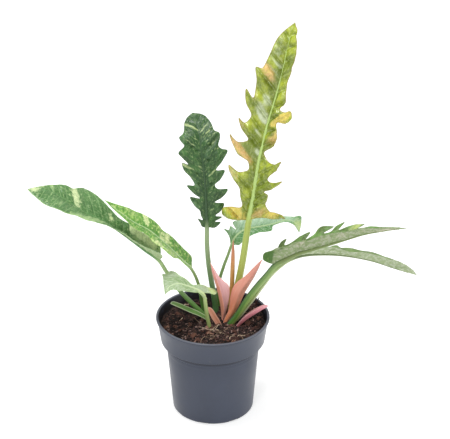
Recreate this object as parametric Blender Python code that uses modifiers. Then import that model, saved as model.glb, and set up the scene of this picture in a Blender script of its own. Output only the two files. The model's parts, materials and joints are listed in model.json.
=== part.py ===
"""A potted foliage plant with long, lobed, cream-marked leaves, in a grey nursery pot.

The plant is a clump of eight leaves and six leaf sheaths that rise from one crown under the soil. Each leaf
is one solid: a stalk that runs on as the midrib, with a lobed blade grown to both sides of it. Every stalk
and sheath stands in a hole in the soil. The origin is the middle of the pot's foot, +Z is up, and the plant
shows its best side towards -Y. Sizes and places are in millimetres until they reach Blender.
"""

import math
from dataclasses import dataclass

import bmesh
import bpy
from mathutils import Vector
from mathutils.geometry import delaunay_2d_cdt

MM = 0.001
GAP = 0.35

POT_HEIGHT = 127.5
POT_STEPS = 36
WALL = 1.5
FOOT_INNER_RADIUS = 42.0
FOOT_RADIUS = 48.0
BODY_BOTTOM_RADIUS = 50.2
BODY_TOP_RADIUS = 58.2
RIDGE_HEIGHT = 83.0
RIDGE_STEP = 0.6
LEDGE_HEIGHT = 96.0
COLLAR_BOTTOM_RADIUS = 64.4
COLLAR_TOP_RADIUS = 68.4
LIP_HEIGHT = 124.9
LIP_RADIUS = 70.0
FLOOR_BOTTOM = 3.2
FLOOR_TOP = 5.0
HUB_RADIUS = 24.0
HUB_TOP = 1.8

DRAINS = 8
DRAIN_FIRST_DEG = -104.0
DRAIN_WIDTH = 13.0
DRAIN_NOTCH_HEIGHT = 2.6
DRAIN_SLOT_INNER = 33.0

SOIL_HEIGHT = 115.0
SOIL_MOUND = 3.0
SOIL_LUMP = 1.1
SOIL_RINGS = 5

CROWN_CENTRE = (13.0, 10.0, 76.0)
CROWN_RADIUS = 33.0
CROWN_RISE = 15.0
CROWN_DEPTH = 26.0
CROWN_SIDES = 16
CROWN_RINGS = 8
ROOTS = 6
ROOT_RADIUS = 2.2

BLADE_THICKNESS = 0.8
SHEATH_THICKNESS = 1.1
BASE_HALF_WIDTH = 1.6
OUTLINE_STEPS = 2
LEAST_SPACING = 2.4
RIB_STEP = 12.0
RIB_END = 0.93
WIDE = 35.0
WAVE_LENGTH = 46.0
HEADING_SPAN = 24.0

GREEN = "leaf_green"
YOUNG = "leaf_young"
PALE = "leaf_pale"
SHEATH_PINK = "sheath_pink"
SHEATH_GREEN = "sheath_green"
FINISHES = {
    GREEN: ((0.09, 0.24, 0.05), 0.35),
    YOUNG: ((0.42, 0.46, 0.07), 0.4),
    PALE: ((0.27, 0.42, 0.18), 0.5),
    SHEATH_PINK: ((0.72, 0.25, 0.2), 0.45),
    SHEATH_GREEN: ((0.25, 0.42, 0.12), 0.45),
    "pot_plastic": ((0.085, 0.1, 0.13), 0.45),
    "soil": ((0.05, 0.028, 0.018), 0.95),
    "crown": ((0.2, 0.15, 0.08), 0.8),
}


@dataclass
class Leaf:
    """One leaf. Stalk and rib are points from the soil to the blade and from there to the tip.

    Left and right list the margin as (distance along the rib, reach out from it), tip and notch in turn.
    Faces hold the way that the upper face looks at the blade's base and at its tip. Fold is how far each
    half rises from flat at the base and at the tip, and curl how much more it rises towards the margin,
    in degrees.
    """

    name: str
    finish: str
    stalk: list
    rib: list
    radii: tuple
    left: list
    right: list
    faces: tuple
    fold: tuple
    curl: float = 0.0
    wave: float = 1.5
    cell: float = 13.0
    solver: str = "EXACT"


@dataclass
class Sheath:
    """One folded leaf sheath: a strap along a line, its hollow side looking along its face.

    Left and right list the margin as (share of the line's length, reach out from the line). Room is how
    much wider than the folded strap its hole in the soil is, besides the usual gap.
    """

    name: str
    finish: str
    line: list
    left: list
    right: list
    face: tuple
    fold: tuple
    curl: float = 12.0
    wave: float = 0.0
    cell: float = 12.0
    room: float = 0.9

    @property
    def faces(self):
        """The way that the hollow side looks at the foot and at the tip."""
        return self.face, self.face


LEAVES = [
    Leaf(
        name="leaf_tall_young",
        finish=YOUNG,
        stalk=[(20, 12, 96), (22, 13, 114), (32, 13, 170), (37, 15, 199), (44, 20, 250)],
        rib=[(49, 21, 278), (54, 23, 316), (60, 26, 348), (67, 28, 378), (75, 31, 407), (83, 34, 441),
             (89, 38, 471), (96, 44, 493)],
        radii=(4.8, 3.8, 0.8),
        left=[(-4, 12), (-4, 23), (1, 33), (11, 32), (14, 12), (28, 16), (39, 19), (49, 26), (67, 35),
              (60, 21), (64, 11), (73, 13), (81, 28), (104, 40), (96, 30), (100, 18), (112, 29), (123, 36),
              (119, 27), (129, 22), (142, 31), (160, 36), (151, 25), (170, 27), (190, 31), (190, 24),
              (203, 20), (225, 15), (239, 8)],
        right=[(6, 10), (11, 20), (16, 34), (23, 50), (31, 64), (30, 51), (26, 38), (25, 28), (29, 21),
               (36, 23), (42, 22), (43, 16), (52, 29), (67, 43), (60, 29), (59, 17), (67, 22), (78, 32),
               (92, 38), (84, 28), (82, 13), (89, 5), (100, 14), (112, 20), (123, 15), (131, 13), (138, 30),
               (146, 37), (153, 30), (148, 20), (148, 12), (160, 18), (173, 13), (185, 12), (200, 15),
               (216, 17), (232, 12), (244, 5)],
        faces=((-0.42, -1.0, 0.15), (-0.55, -0.9, 0.25)),
        fold=(16.0, 20.0),
        curl=8.0,
        wave=2.2,
    ),
    Leaf(
        name="leaf_upright_dark",
        finish=GREEN,
        stalk=[(4, 25, 96), (4, 26, 114), (2, 27, 134), (-5, 28, 183), (-7, 28, 211), (-7, 28, 235)],
        rib=[(-8, 28, 264), (-9, 30, 290), (-11, 33, 315), (-14, 40, 339), (-16, 50, 352), (-24, 78, 365)],
        radii=(4.0, 2.7, 0.8),
        left=[(2, 6), (7, 8), (14, 11), (11, 5), (18, 7), (24, 8), (31, 14), (43, 19), (40, 7), (48, 15),
              (59, 22), (58, 13), (69, 17), (79, 24), (88, 25), (85, 18), (94, 24), (100, 28), (107, 20),
              (112, 23), (118, 25), (124, 19), (140, 14), (149, 8)],
        right=[(0, 10), (7, 17), (8, 10), (14, 19), (16, 11), (22, 18), (32, 22), (34, 11), (40, 20),
               (50, 27), (51, 15), (56, 12), (62, 19), (73, 25), (74, 15), (85, 24), (96, 31), (99, 24),
               (103, 21), (112, 24), (117, 24), (121, 18), (128, 17), (136, 15), (146, 11)],
        faces=((0.1, -1.0, 0.12), (0.05, -0.8, 0.6)),
        fold=(12.0, 8.0),
        curl=-6.0,
        wave=1.2,
    ),
    Leaf(
        name="leaf_long_left",
        finish=GREEN,
        stalk=[(-5, 9, 95), (-6, 10, 114), (-15, 8, 128), (-40, 2, 161), (-56, -2, 190), (-65, -4, 207)],
        rib=[(-81, -5, 221), (-99, -6, 237), (-116, -8, 252), (-134, -11, 266), (-152, -15, 278),
             (-166, -19, 291), (-186, -23, 307), (-202, -27, 313), (-215, -30, 315)],
        radii=(3.4, 2.4, 0.7),
        left=[(3, 14), (13, 26), (25, 24), (45, 20), (59, 17), (72, 16), (86, 18), (105, 24), (125, 24),
              (145, 30), (160, 29), (173, 23), (183, 12)],
        right=[(4, 12), (16, 21), (38, 17), (54, 17), (67, 16), (80, 20), (91, 25), (107, 34), (117, 35),
               (127, 28), (136, 21), (146, 20), (158, 13), (170, 7), (181, 3)],
        faces=((0.35, 0.0, 1.0), (0.1, -0.35, 1.0)),
        fold=(46.0, 4.0),
        curl=-6.0,
        wave=1.5,
        solver="MANIFOLD",
    ),
    Leaf(
        name="leaf_short_left",
        finish=GREEN,
        stalk=[(-8, 22, 96), (-8, 22, 114), (-12, 21, 125), (-18, 16, 164), (-26, 12, 186)],
        rib=[(-35, 8, 198), (-52, 2, 221), (-63, -3, 235), (-77, -7, 250), (-93, -10, 261),
             (-105, -12, 272), (-117, -12, 282), (-127, -12, 292)],
        radii=(2.6, 1.9, 0.7),
        left=[(3, 5), (13, 7), (22, 6), (30, 9), (43, 19), (56, 20), (66, 18), (76, 18), (86, 13),
              (100, 12), (112, 9), (128, 4)],
        right=[(2, 6), (7, 14), (20, 15), (35, 15), (51, 16), (61, 14), (74, 16), (86, 17), (100, 17),
               (116, 14), (131, 8)],
        faces=((0.35, -0.3, 1.0), (0.3, -0.35, 1.0)),
        fold=(24.0, 12.0),
        curl=-12.0,
        wave=1.2,
    ),
    Leaf(
        name="leaf_small_front",
        finish=PALE,
        stalk=[(-3, -12, 95), (-3.6, -12, 114), (-6.6, -13.5, 133), (-8.5, -15, 150), (-9.6, -16, 161),
               (-11.5, -17, 167)],
        rib=[(-20, -19, 175), (-31, -22, 181.5), (-42, -26, 186.5), (-52, -31, 185), (-57, -37, 178)],
        radii=(2.6, 2.2, 0.7),
        left=[(-6, 4), (3, 6), (8, 4), (13, 6), (22, 8), (34, 10), (41, 11), (46, 8), (52, 4)],
        right=[(-8, 5), (-16, 7), (-18, 12), (-12, 13), (-6, 12), (1, 11), (9, 8), (18, 4), (27, 8),
               (34, 11), (38, 16), (41, 18), (43.5, 15.5), (46, 18.5), (48, 13), (53, 7)],
        faces=((0.1, -0.45, 1.0), (-0.25, -0.75, 0.8)),
        fold=(18.0, 6.0),
        curl=-8.0,
        wave=1.0,
        cell=8.0,
    ),
    Leaf(
        name="leaf_small_back",
        finish=GREEN,
        stalk=[(8, 38, 96), (8, 39, 114), (7, 42, 147), (13, 44, 171), (19, 46, 188), (23, 48, 200)],
        rib=[(29, 51, 211), (40, 55, 218), (56, 60, 219), (74, 66, 220), (91, 71, 223), (101, 75, 218),
             (108, 78, 202)],
        radii=(2.6, 1.8, 0.7),
        left=[(6, 6), (9, 12), (10, 18), (13, 12), (16, 14), (18, 6), (20, 16), (27, 14), (40, 12),
              (54, 11), (68, 8), (83, 5), (91, 7), (98, 14), (104, 11)],
        right=[(4, 6), (7, 11), (14, 13), (22, 14), (31, 12), (43, 9), (52, 9.5), (59, 8.5), (62, 3),
               (70, 2), (81, 3), (90, 4), (98, 2.5)],
        faces=((0.1, -0.5, 1.0), (0.3, -0.75, 0.9)),
        fold=(20.0, 4.0),
        curl=-10.0,
        wave=1.0,
        cell=9.0,
    ),
    Leaf(
        name="leaf_long_right",
        finish=PALE,
        stalk=[(18, -5, 95), (19.5, -5, 114), (31, -6.5, 132), (44, -9, 156), (55, -11.5, 174),
               (67, -13.5, 191), (76.5, -15, 206)],
        rib=[(90, -18, 217), (103, -22, 226), (122, -27, 235), (141, -32, 244), (159, -37, 253),
             (178, -42, 262), (197, -48, 269), (215, -54, 275), (228, -60, 278)],
        radii=(4.2, 3.0, 0.8),
        left=[(-4, 8), (-6, 20), (-1, 24), (4, 21), (9, 27), (18, 30), (15, 22), (24, 22), (36, 27),
              (49, 27), (43, 19), (54, 23), (60, 29), (69, 31), (79, 28), (66, 21), (75, 21), (82, 28),
              (94, 28), (85, 21), (97, 20), (109, 20), (119, 17), (111, 13), (126, 11), (144, 6), (160, 3)],
        right=[(-4, 8), (-6, 17), (1, 24), (10, 23), (20, 24), (29, 19), (40, 21), (52, 19), (70, 22),
               (83, 20), (101, 17), (123, 16), (138, 10), (156, 4)],
        faces=((-0.35, 0.5, 1.0), (-0.2, 0.35, 1.0)),
        fold=(42.0, 30.0),
        curl=6.0,
        wave=1.6,
        solver="MANIFOLD",
    ),
    Leaf(
        name="leaf_drooping_right",
        finish=PALE,
        stalk=[(24, 3, 95), (25, 3, 113), (37, 4.5, 131), (49.5, 7, 148), (61.5, 9.5, 165), (74, 12, 181.5),
               (84, 14.5, 190), (93, 16, 196)],
        rib=[(108, 18, 201), (132, 24, 200), (161, 30, 195), (196, 36, 184.5), (223, 39, 173),
             (254, 42, 161)],
        radii=(3.4, 2.5, 0.8),
        left=[(4, 9), (20, 12), (40, 12), (54, 14), (66, 19), (70, 15), (84, 17), (95, 15), (106, 17),
              (123, 18), (142, 16), (158, 9)],
        right=[(3, 7), (9, 9), (26, 13), (42, 20), (58, 21), (74, 15), (88, 20), (107, 23), (122, 26),
               (141, 26), (155, 18)],
        faces=((-0.2, 0.35, 1.0), (0.35, 0.3, 1.0)),
        fold=(36.0, 30.0),
        curl=-6.0,
        wave=1.4,
    ),
]

SHEATHS = [
    Sheath(
        name="sheath_left",
        finish=SHEATH_PINK,
        line=[(11, 8, 96), (11, 8, 114), (10.5, 7, 131), (6, 4, 160), (0.5, 1, 184), (-2.5, -3, 203)],
        left=[(0, 3.2), (0.2, 3.8), (0.29, 5), (0.4, 10), (0.5, 11.7), (0.63, 11.7), (0.75, 11),
              (0.86, 8.5), (0.95, 4)],
        right=[(0, 3.2), (0.2, 4.2), (0.28, 5.2), (0.37, 9), (0.5, 14), (0.61, 15.3), (0.68, 11.5),
               (0.77, 7), (0.9, 3)],
        face=(0.94, -0.34, 0.1),
        fold=(44.0, 44.0),
        curl=6.0,
        room=0.4,
    ),
    Sheath(
        name="sheath_thin",
        finish=SHEATH_PINK,
        line=[(21, 22, 96), (21, 22, 116), (23, 16, 157), (24, 11, 193), (25, 7, 230)],
        left=[(0, 3), (0.3, 3.8), (0.6, 3.7), (0.85, 2.6)],
        right=[(0, 3), (0.3, 3.8), (0.6, 3.7), (0.85, 2.6)],
        face=(0.2, 1.0, 0.1),
        fold=(45.0, 40.0),
    ),
    Sheath(
        name="sheath_broad",
        finish=SHEATH_PINK,
        line=[(15.5, -0.5, 96), (16, -0.5, 116), (25.5, -1, 136), (33.5, -5, 163.5), (46.4, -10, 187),
              (60, -17, 216)],
        left=[(0, 3.6), (0.2, 4), (0.29, 5), (0.38, 7.6), (0.48, 9.8), (0.58, 10.6), (0.72, 6.8),
              (0.86, 3.8)],
        right=[(0, 3.6), (0.2, 4), (0.29, 5), (0.38, 7.6), (0.48, 9.8), (0.58, 10.6), (0.72, 6.8),
               (0.86, 3.8)],
        face=(-0.15, 1.0, 0.0),
        fold=(40.0, 28.0),
    ),
    Sheath(
        name="sheath_short",
        finish=SHEATH_PINK,
        line=[(8, -4, 98), (7.5, -4, 115), (1, -5, 129), (-5.5, -7, 143.5)],
        left=[(0, 3), (0.4, 3.4), (0.7, 3.8), (0.93, 2.8)],
        right=[(0, 3), (0.4, 3.4), (0.7, 3.8), (0.93, 2.8)],
        face=(0.2, -0.85, 0.5),
        fold=(28.0, 22.0),
        room=0.6,
    ),
    Sheath(
        name="sheath_low_right",
        finish=SHEATH_PINK,
        line=[(30, -10, 97), (31, -10, 115), (39.5, -10, 125.5), (53, -9, 134.5), (68, -7, 142.5)],
        left=[(0, 4), (0.4, 4.4), (0.6, 6.6), (0.8, 6.4), (0.96, 4.2)],
        right=[(0, 4), (0.4, 4.4), (0.6, 6.6), (0.8, 6.4), (0.96, 4.2)],
        face=(-0.5, 0.35, 1.0),
        fold=(45.0, 45.0),
        curl=0.0,
        room=0.6,
    ),
    Sheath(
        name="sheath_green",
        finish=SHEATH_GREEN,
        line=[(-7, 1, 97), (-7, 1, 118), (-16, -1, 127), (-28, -3, 134), (-40, -7, 142.5),
              (-51.5, -13, 152)],
        left=[(0, 3.4), (0.4, 4.8), (0.7, 5.8), (0.96, 5)],
        right=[(0, 3.4), (0.4, 4.8), (0.7, 5.8), (0.96, 4)],
        face=(0.3, -0.1, 1.0),
        fold=(32.0, 24.0),
        room=1.7,
    ),
]


class Path:
    """A smooth line through a few points, read by the distance along it."""

    def __init__(self, points, per_span=16):
        ends = [2 * Vector(points[0]) - Vector(points[1])]
        ends += [Vector(p) for p in points]
        ends += [2 * Vector(points[-1]) - Vector(points[-2])]
        self.points = []
        self.marks = []
        for a, b, c, d in zip(ends, ends[1:], ends[2:], ends[3:]):
            self.marks.append(len(self.points))
            for i in range(per_span):
                self.points.append(self.between(a, b, c, d, i / per_span))
        self.marks.append(len(self.points))
        self.points.append(ends[-2])
        self.reached = [0.0]
        for p, q in zip(self.points, self.points[1:]):
            self.reached.append(self.reached[-1] + (q - p).length)
        self.length = self.reached[-1] - 0.001

    @staticmethod
    def between(a, b, c, d, t):
        """The centripetal Catmull-Rom point between b and c."""
        k1 = (b - a).length ** 0.5
        k2 = k1 + (c - b).length ** 0.5
        k3 = k2 + (d - c).length ** 0.5
        k = k1 + (k2 - k1) * t
        ab = a.lerp(b, k / k1)
        bc = b.lerp(c, (k - k1) / (k2 - k1))
        cd = c.lerp(d, (k - k2) / (k3 - k2))
        return ab.lerp(bc, k / k2).lerp(bc.lerp(cd, (k - k1) / (k3 - k1)), (k - k1) / (k2 - k1))

    def distance_to(self, index):
        """How far along the line its point of this index lies."""
        return self.reached[self.marks[index]]

    def at(self, distance):
        """The point at this distance, kept between the two ends."""
        distance = min(max(distance, 0.0001), self.length)
        low = next(i for i, reached in enumerate(self.reached) if reached >= distance)
        share = (distance - self.reached[low - 1]) / (self.reached[low] - self.reached[low - 1])
        return self.points[low - 1].lerp(self.points[low], share)

    def heading(self, distance, lowest=0.0, span=HEADING_SPAN):
        """The line's unit direction at this distance, taken over a span that starts no lower than lowest."""
        start = max(lowest, min(self.length - span, distance - 0.5 * span))
        return (self.at(start + span) - self.at(start)).normalized()


def clear_scene():
    """Removes the start-up objects."""
    for obj in list(bpy.data.objects):
        bpy.data.objects.remove(obj, do_unlink=True)


def new_collection(name):
    """A collection linked to the scene."""
    made = bpy.data.collections.new(name)
    bpy.context.scene.collection.children.link(made)
    return made


def material(node, finish):
    """The node's own plain Principled material."""
    colour, roughness = FINISHES[finish]
    made = bpy.data.materials.new(node + "_" + finish)
    made.use_nodes = True
    shader = made.node_tree.nodes["Principled BSDF"]
    shader.inputs["Base Color"].default_value = (*colour, 1.0)
    shader.inputs["Roughness"].default_value = roughness
    return made


def mesh_object(name, mesh, home):
    """An object for this mesh, in the collection home."""
    obj = bpy.data.objects.new(name, mesh)
    home.objects.link(obj)
    return obj


def evaluated_mesh(obj):
    """The object's mesh with its modifiers applied, welded, in world space and facing out."""
    bpy.context.view_layer.update()
    graph = bpy.context.evaluated_depsgraph_get()
    mesh = bpy.data.meshes.new_from_object(obj.evaluated_get(graph))
    mesh.transform(obj.matrix_world)
    work = bmesh.new()
    work.from_mesh(mesh)
    bmesh.ops.remove_doubles(work, verts=work.verts, dist=0.000002)
    bmesh.ops.recalc_face_normals(work, faces=work.faces)
    if work.calc_volume(signed=True) < 0.0:
        bmesh.ops.reverse_faces(work, faces=work.faces)
    work.to_mesh(mesh)
    work.free()
    return mesh


def settled(obj, home):
    """Replaces the object by a plain mesh object of the same name, with its modifiers applied."""
    name = obj.name
    mesh = evaluated_mesh(obj)
    materials = [slot.material for slot in obj.material_slots]
    bpy.data.objects.remove(obj, do_unlink=True)
    made = mesh_object(name, mesh, home)
    made.data.materials.clear()
    for item in materials:
        made.data.materials.append(item)
    return made


def combined(obj, others, operation, home, solver="EXACT"):
    """The object joined with, or cut by, all the others by one Boolean, which are then removed."""
    group = new_collection("operands")
    for other in others:
        for old in list(other.users_collection):
            old.objects.unlink(other)
        group.objects.link(other)
    step = obj.modifiers.new("combine", "BOOLEAN")
    step.operation = operation
    step.operand_type = "COLLECTION"
    step.collection = group
    step.solver = solver
    made = settled(obj, home)
    for other in list(group.objects):
        bpy.data.objects.remove(other, do_unlink=True)
    bpy.data.collections.remove(group)
    return made


def turned(name, profile, steps, home):
    """A solid of revolution about Z. The profile is (radius, height), from the top of the outer side down."""
    mesh = bpy.data.meshes.new(name)
    points = [(r * MM, 0.0, z * MM) for r, z in profile]
    mesh.from_pydata(points, [(i, i + 1) for i in range(len(points) - 1)], [])
    obj = mesh_object(name, mesh, home)
    screw = obj.modifiers.new("turn", "SCREW")
    screw.steps = steps
    screw.render_steps = steps
    screw.use_merge_vertices = True
    screw.merge_threshold = 0.00001
    return obj


def tube(name, points, radii, sides, home):
    """A round bar through the points, with a radius at each, and flat closed ends."""
    curve = bpy.data.curves.new(name, "CURVE")
    curve.dimensions = "3D"
    curve.bevel_depth = MM
    curve.bevel_resolution = max(0, (sides - 4) // 2)
    curve.use_fill_caps = True
    curve.twist_mode = "MINIMUM"
    spline = curve.splines.new("POLY")
    spline.points.add(len(points) - 1)
    for target, place, radius in zip(spline.points, points, radii):
        target.co = (*(Vector(place) * MM), 1.0)
        target.radius = radius
    obj = bpy.data.objects.new(name, curve)
    home.objects.link(obj)
    mesh = evaluated_mesh(obj)
    bpy.data.objects.remove(obj, do_unlink=True)
    return mesh_object(name, mesh, home)


def pot_inner_radius(height):
    """The pot's inner radius at a height above its floor."""
    if height < LEDGE_HEIGHT + WALL:
        share = (height - FLOOR_TOP) / (LEDGE_HEIGHT + WALL - FLOOR_TOP)
        bottom = BODY_BOTTOM_RADIUS - WALL
        return bottom + (BODY_TOP_RADIUS - WALL - bottom) * share
    share = (height - LEDGE_HEIGHT - WALL) / (POT_HEIGHT - LEDGE_HEIGHT - WALL)
    bottom = COLLAR_BOTTOM_RADIUS - WALL
    return bottom + (COLLAR_TOP_RADIUS - WALL - bottom) * share


def body_radius(height):
    """The pot's outer radius on the tapered body."""
    return BODY_BOTTOM_RADIUS + (BODY_TOP_RADIUS - BODY_BOTTOM_RADIUS) * height / LEDGE_HEIGHT


def pot_profile():
    """The pot's section, from the lip's top down the outer side, under the floor, and up the inner side."""
    edge = 1.0
    soft = 0.7
    inner_ledge = LEDGE_HEIGHT + WALL
    return [
        (COLLAR_TOP_RADIUS, POT_HEIGHT),
        (LIP_RADIUS - soft, POT_HEIGHT),
        (LIP_RADIUS, POT_HEIGHT - soft),
        (LIP_RADIUS, LIP_HEIGHT + soft),
        (LIP_RADIUS - soft, LIP_HEIGHT),
        (COLLAR_TOP_RADIUS, LIP_HEIGHT),
        (COLLAR_BOTTOM_RADIUS, LEDGE_HEIGHT + edge),
        (COLLAR_BOTTOM_RADIUS - edge, LEDGE_HEIGHT),
        (body_radius(LEDGE_HEIGHT), LEDGE_HEIGHT - edge),
        (body_radius(RIDGE_HEIGHT) + 0.5 * RIDGE_STEP, RIDGE_HEIGHT),
        (body_radius(RIDGE_HEIGHT) - 0.5 * RIDGE_STEP, RIDGE_HEIGHT - edge),
        (body_radius(2.4), 2.4),
        (FOOT_RADIUS, 0.0),
        (FOOT_INNER_RADIUS, 0.0),
        (FOOT_INNER_RADIUS - edge, FLOOR_BOTTOM),
        (HUB_RADIUS + edge, FLOOR_BOTTOM),
        (HUB_RADIUS, 0.0),
        (0.0, 0.0),
        (0.0, HUB_TOP),
        (HUB_RADIUS - 2.4, HUB_TOP),
        (HUB_RADIUS - 1.4, FLOOR_TOP),
        (pot_inner_radius(FLOOR_TOP), FLOOR_TOP),
        (pot_inner_radius(inner_ledge - 0.01), inner_ledge - edge),
        (pot_inner_radius(inner_ledge) - edge, inner_ledge),
        (pot_inner_radius(inner_ledge), inner_ledge + edge),
        (pot_inner_radius(POT_HEIGHT), POT_HEIGHT - soft),
        (COLLAR_TOP_RADIUS, POT_HEIGHT),
    ]


def box_cutter(name, low, high, turn_deg, home):
    """A box between two corners, turned about Z."""
    mesh = bpy.data.meshes.new(name)
    work = bmesh.new()
    bmesh.ops.create_cube(work, size=1.0)
    low, high = Vector(low) * MM, Vector(high) * MM
    for vertex in work.verts:
        vertex.co = Vector(l + (h - l) * (c + 0.5) for l, h, c in zip(low, high, vertex.co))
    work.to_mesh(mesh)
    work.free()
    obj = mesh_object(name, mesh, home)
    obj.rotation_euler.z = math.radians(turn_deg)
    return obj


def build_pot(parts, helpers):
    """The nursery pot: a tapered cup with a flared collar, a thin lip, a raised floor and drain slots."""
    pot = turned("pot", pot_profile(), POT_STEPS, parts)
    half = 0.5 * DRAIN_WIDTH
    cutters = []
    for k in range(DRAINS):
        angle = DRAIN_FIRST_DEG + k * 360.0 / DRAINS
        notch_low = (DRAIN_SLOT_INNER + 2.0, -half, -2.0)
        notch_high = (BODY_BOTTOM_RADIUS + 6.0, half, DRAIN_NOTCH_HEIGHT)
        slot_low = (DRAIN_SLOT_INNER, -0.4 * half, DRAIN_NOTCH_HEIGHT - 1.0)
        slot_high = (FOOT_INNER_RADIUS - 2.0, 0.4 * half, FLOOR_TOP + 2.0)
        cutters.append(box_cutter("notch", notch_low, notch_high, angle, helpers))
        cutters.append(box_cutter("slot", slot_low, slot_high, angle, helpers))
    pot = combined(pot, cutters, "DIFFERENCE", parts)
    pot.data.materials.append(material("pot", "pot_plastic"))
    return pot


def soil_top(x, y):
    """The height of the soil's surface: a low mound with lumps."""
    out = math.hypot(x - CROWN_CENTRE[0], y - CROWN_CENTRE[1]) / COLLAR_TOP_RADIUS
    lumps = math.sin(0.23 * x + 1.0) * math.sin(0.19 * y + 0.4) + 0.6 * math.sin(0.41 * x - 0.33 * y)
    return SOIL_HEIGHT + SOIL_MOUND * max(0.0, 1.0 - out * out) + SOIL_LUMP * 0.7 * lumps


def build_soil(parts, stalks, helpers):
    """The root ball of soil that fills the pot, with a plain hole for each stalk and the crown's hollow."""
    side = [SOIL_HEIGHT, LEDGE_HEIGHT + WALL + 1.0 + GAP, LEDGE_HEIGHT + WALL + GAP - 1.2, FLOOR_TOP + GAP]
    radii = [pot_inner_radius(side[0]) - GAP, pot_inner_radius(side[1]) - GAP,
             pot_inner_radius(LEDGE_HEIGHT) - GAP - 0.1, pot_inner_radius(side[3]) - GAP]
    rings = [(radii[0] * k / SOIL_RINGS, SOIL_HEIGHT) for k in range(SOIL_RINGS)]
    hub = HUB_RADIUS - 2.4 - 2 * GAP
    profile = rings + list(zip(radii, side)) + [(hub, side[3]), (hub, HUB_TOP + GAP), (0.0, HUB_TOP + GAP)]
    soil = settled(turned("soil", profile, POT_STEPS, parts), parts)
    for vertex in soil.data.vertices:
        x, y, z = vertex.co / MM
        if abs(z - SOIL_HEIGHT) < 0.01:
            vertex.co.z = soil_top(x, y) * MM
    cutters = [tube("hole", *cut, 8, helpers) for cut in stalks]
    cutters.append(crown_solid("crown_hollow", GAP, helpers))
    soil = combined(soil, cutters, "DIFFERENCE", parts)
    soil.data.materials.append(material("soil", "soil"))
    return soil


def crown_top(x, y):
    """The height of the crown's upper side over a place on it, and how steep it is there."""
    out = math.hypot(x - CROWN_CENTRE[0], y - CROWN_CENTRE[1]) / CROWN_RADIUS
    level = math.sqrt(max(0.04, 1.0 - out * out))
    return CROWN_CENTRE[2] + CROWN_RISE * level, CROWN_RISE * out / (CROWN_RADIUS * level)


def crown_solid(name, grow, home):
    """The crown, a squat stock that the stalks rise from, with its main roots, all of it grown by a margin."""
    mesh = bpy.data.meshes.new(name)
    work = bmesh.new()
    bmesh.ops.create_uvsphere(work, u_segments=CROWN_SIDES, v_segments=CROWN_RINGS, radius=1.0)
    for vertex in work.verts:
        x, y, z = vertex.co
        height = (CROWN_RISE if z > 0 else CROWN_DEPTH) + grow
        spread = CROWN_RADIUS * (1.0 if z > 0 else 1.0 - 0.35 * abs(z)) + grow
        vertex.co = (Vector(CROWN_CENTRE) + Vector((x * spread, y * spread, z * height))) * MM
    work.to_mesh(mesh)
    work.free()
    crown = mesh_object(name, mesh, home)
    roots = []
    for k in range(ROOTS):
        angle = 2 * math.pi * (k + 0.3) / ROOTS
        points, radii = [], []
        for i in range(5):
            share = i / 4
            out = 14.0 + 20.0 * share + 4.0 * math.sin(3.0 * share + k)
            turn = angle + 0.35 * share
            drop = 12.0 + 44.0 * share ** 1.2
            x, y, z = CROWN_CENTRE
            points.append((x * (1.0 - 0.6 * share) + out * math.cos(turn),
                           y * (1.0 - 0.6 * share) + out * math.sin(turn), z - drop))
            radii.append(ROOT_RADIUS * (1.0 - 0.55 * share) + grow)
        points[-1] = Vector(points[-1]) + (Vector(points[-1]) - Vector(points[-2])).normalized() * grow
        roots.append(tube("root", points, radii, 6, home))
    return combined(crown, roots, "UNION", home)


def build_crown(parts):
    """The crown and its main roots, hidden in the soil."""
    crown = crown_solid("crown", 0.0, parts)
    crown.data.materials.append(material("crown", "crown"))
    return crown


def grounded(line, radius):
    """The line with its lowest point set just clear of the crown's surface."""
    x, y, _ = line[0]
    top, slope = crown_top(x, y)
    return [(x, y, top + GAP + 0.3 + radius * slope)] + list(line[1:])


def rounded(points, per_span):
    """The points joined by a smooth line, read this many times in each span."""
    ends = [2 * Vector(points[0]) - Vector(points[1])]
    ends += [Vector(p) for p in points]
    ends += [2 * Vector(points[-1]) - Vector(points[-2])]
    line = []
    for a, b, c, d in zip(ends, ends[1:], ends[2:], ends[3:]):
        line += [Path.between(a, b, c, d, i / per_span) for i in range(per_span)]
    return line + [ends[-2]]


def spaced(points, least):
    """The points without those that follow the last one kept too closely; both ends stay."""
    kept = [points[0]]
    for point in points[1:-1]:
        if (point - kept[-1]).length >= least and (point - points[-1]).length >= least:
            kept.append(point)
    return kept + [points[-1]]


def outline_of(left, right, length, per_span):
    """The flat blade's outline as (along, reach), reach to the left below zero, round by the tip."""
    up = rounded([(0.0, -BASE_HALF_WIDTH)] + [(s, -t) for s, t in left] + [(length, 0.0)], per_span)
    down = rounded([(length, 0.0)] + [(s, t) for s, t in reversed(right)] + [(0.0, BASE_HALF_WIDTH)], per_span)
    return spaced(up, LEAST_SPACING) + spaced(down, LEAST_SPACING)[1:]


def inside(point, outline):
    """Whether a flat point lies within the outline."""
    x, y = point
    within = False
    for (x0, y0), (x1, y1) in zip(outline, outline[1:] + outline[:1]):
        if (y0 > y) != (y1 > y) and x < x0 + (x1 - x0) * (y - y0) / (y1 - y0):
            within = not within
    return within


def spacing(point, others):
    """The distance from a flat point to the nearest of the others."""
    return min(math.hypot(point[0] - x, point[1] - y) for x, y in others)


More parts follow.
